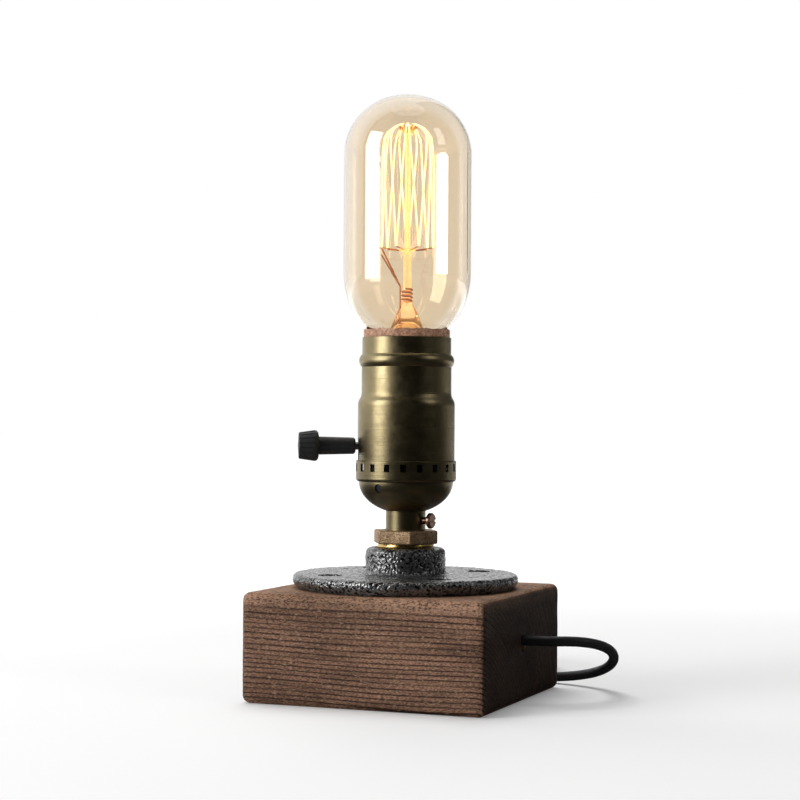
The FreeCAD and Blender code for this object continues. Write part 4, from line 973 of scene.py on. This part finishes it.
def curtain(name, first, sweep, brightness):
    """A tall curved wall round the lamp, in degrees from the camera's side."""
    shape = bmesh.new()
    angle = math.radians(first + camera_side - 90)
    foot = shape.verts.new((curtain_distance * math.cos(angle), curtain_distance * math.sin(angle), 0.0))
    top = shape.verts.new((foot.co.x, foot.co.y, curtain_height))
    shape.edges.new((foot, top))
    bmesh.ops.spin(shape, geom=shape.verts[:] + shape.edges[:], cent=(0, 0, 0), axis=(0, 0, 1),
                   angle=math.radians(sweep), steps=36)
    wall = stage_piece(shape, name)
    wall.visible_camera = False
    wall.visible_transmission = False
    wall.visible_diffuse = False
    wall.visible_shadow = False
    cloth = new_finish(name + "_cloth", Base_Color=(0.01, 0.01, 0.01, 1.0), Roughness=1.0,
                       Specular_IOR_Level=0.0, Emission_Color=(1.0, 1.0, 1.0, 1.0),
                       Emission_Strength=brightness)[0]
    wall.data.materials.append(cloth)
    print(name, "sweeps", sweep, "degrees")


curtain("dark_curtain", -88, 168, 0.0)
curtain("grey_curtain", 80, 80, 0.11)

# %% [markdown]
# Four lamps: a tall soft box on the left, which gives the bright stripes in
# brass and glass, a dim one high on the right, a small one on the right that
# light linking keeps to the glass, and one overhead, behind the lamp, for the
# floor's soft shadow.

# %% Lamps
def area_lamp(name, width, height, power, spot, heading):
    """A rectangular lamp at a spot in metres that shines along its heading."""
    lamp = bpy.data.lights.new(name, "AREA")
    lamp.shape = "RECTANGLE"
    lamp.size = width
    lamp.size_y = height
    lamp.energy = power
    holder = bpy.data.objects.new(name, lamp)
    bpy.context.scene.collection.objects.link(holder)
    holder.location = spot
    holder.rotation_euler = heading.to_track_quat("-Z", "Y").to_euler()
    return holder


def soft_box(name, angle, distance, low, high, width, power):
    """A tall lamp at an angle from the camera's side, which faces the bulb's axis."""
    turn = math.radians(camera_side + angle)
    spot = Vector((math.sin(turn) * distance, -math.cos(turn) * distance, (low + high) / 2))
    return area_lamp(name, width, high - low, power, spot, -Vector((spot.x, spot.y, 0.0)))


soft_box("left_box", -67.0, 1.1, 0.02, 0.95, 0.57, 10.0)
soft_box("right_box", 64.0, 1.1, 0.45, 1.15, 0.3, 1.2)
glass_box = soft_box("glass_box", 65.0, 1.1, 0.13, 0.335, 0.46, 2.2)
only_glass = bpy.data.collections.new("only_glass")
only_glass.objects.link(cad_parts["bulb_glass"])
glass_box.light_linking.receiver_collection = only_glass
over_the_lamp = Vector((-0.35, 0.35, 1.5))
overhead = area_lamp("overhead_box", 1.0, 1.0, 16.0, over_the_lamp, -over_the_lamp)
overhead.visible_glossy = False
overhead.visible_transmission = False
print("lamps:", [lamp.name for lamp in bpy.data.lights])

# %% [markdown]
# The world is white to the eye, in mirrors and through glass, but gives only a
# tenth of that as light, so that the lamps above shape the picture.

# %% World
world = bpy.data.worlds.new("white_room")
bpy.context.scene.world = world
world.use_nodes = True
tree = world.node_tree
tree.nodes.clear()
path = put(tree, "ShaderNodeLightPath").outputs
seen = calc(tree, "MAXIMUM", path["Is Camera Ray"], path["Is Glossy Ray"])
seen = calc(tree, "MAXIMUM", seen, path["Is Transmission Ray"])
white_colour = (1.0, 1.0, 1.0, 1.0)
dim = put(tree, "ShaderNodeBackground", {"Color": white_colour, "Strength": 0.10})
white = put(tree, "ShaderNodeBackground", {"Color": white_colour, "Strength": 1.0})
mixed = put(tree, "ShaderNodeMixShader", {0: seen, 1: dim.outputs[0], 2: white.outputs[0]})
put(tree, "ShaderNodeOutputWorld", {"Surface": mixed.outputs[0]})

# %% [markdown]
# The picture is shown as the colours were written, without a film curve.

# %% Finish
bpy.context.scene.view_settings.view_transform = "Standard"
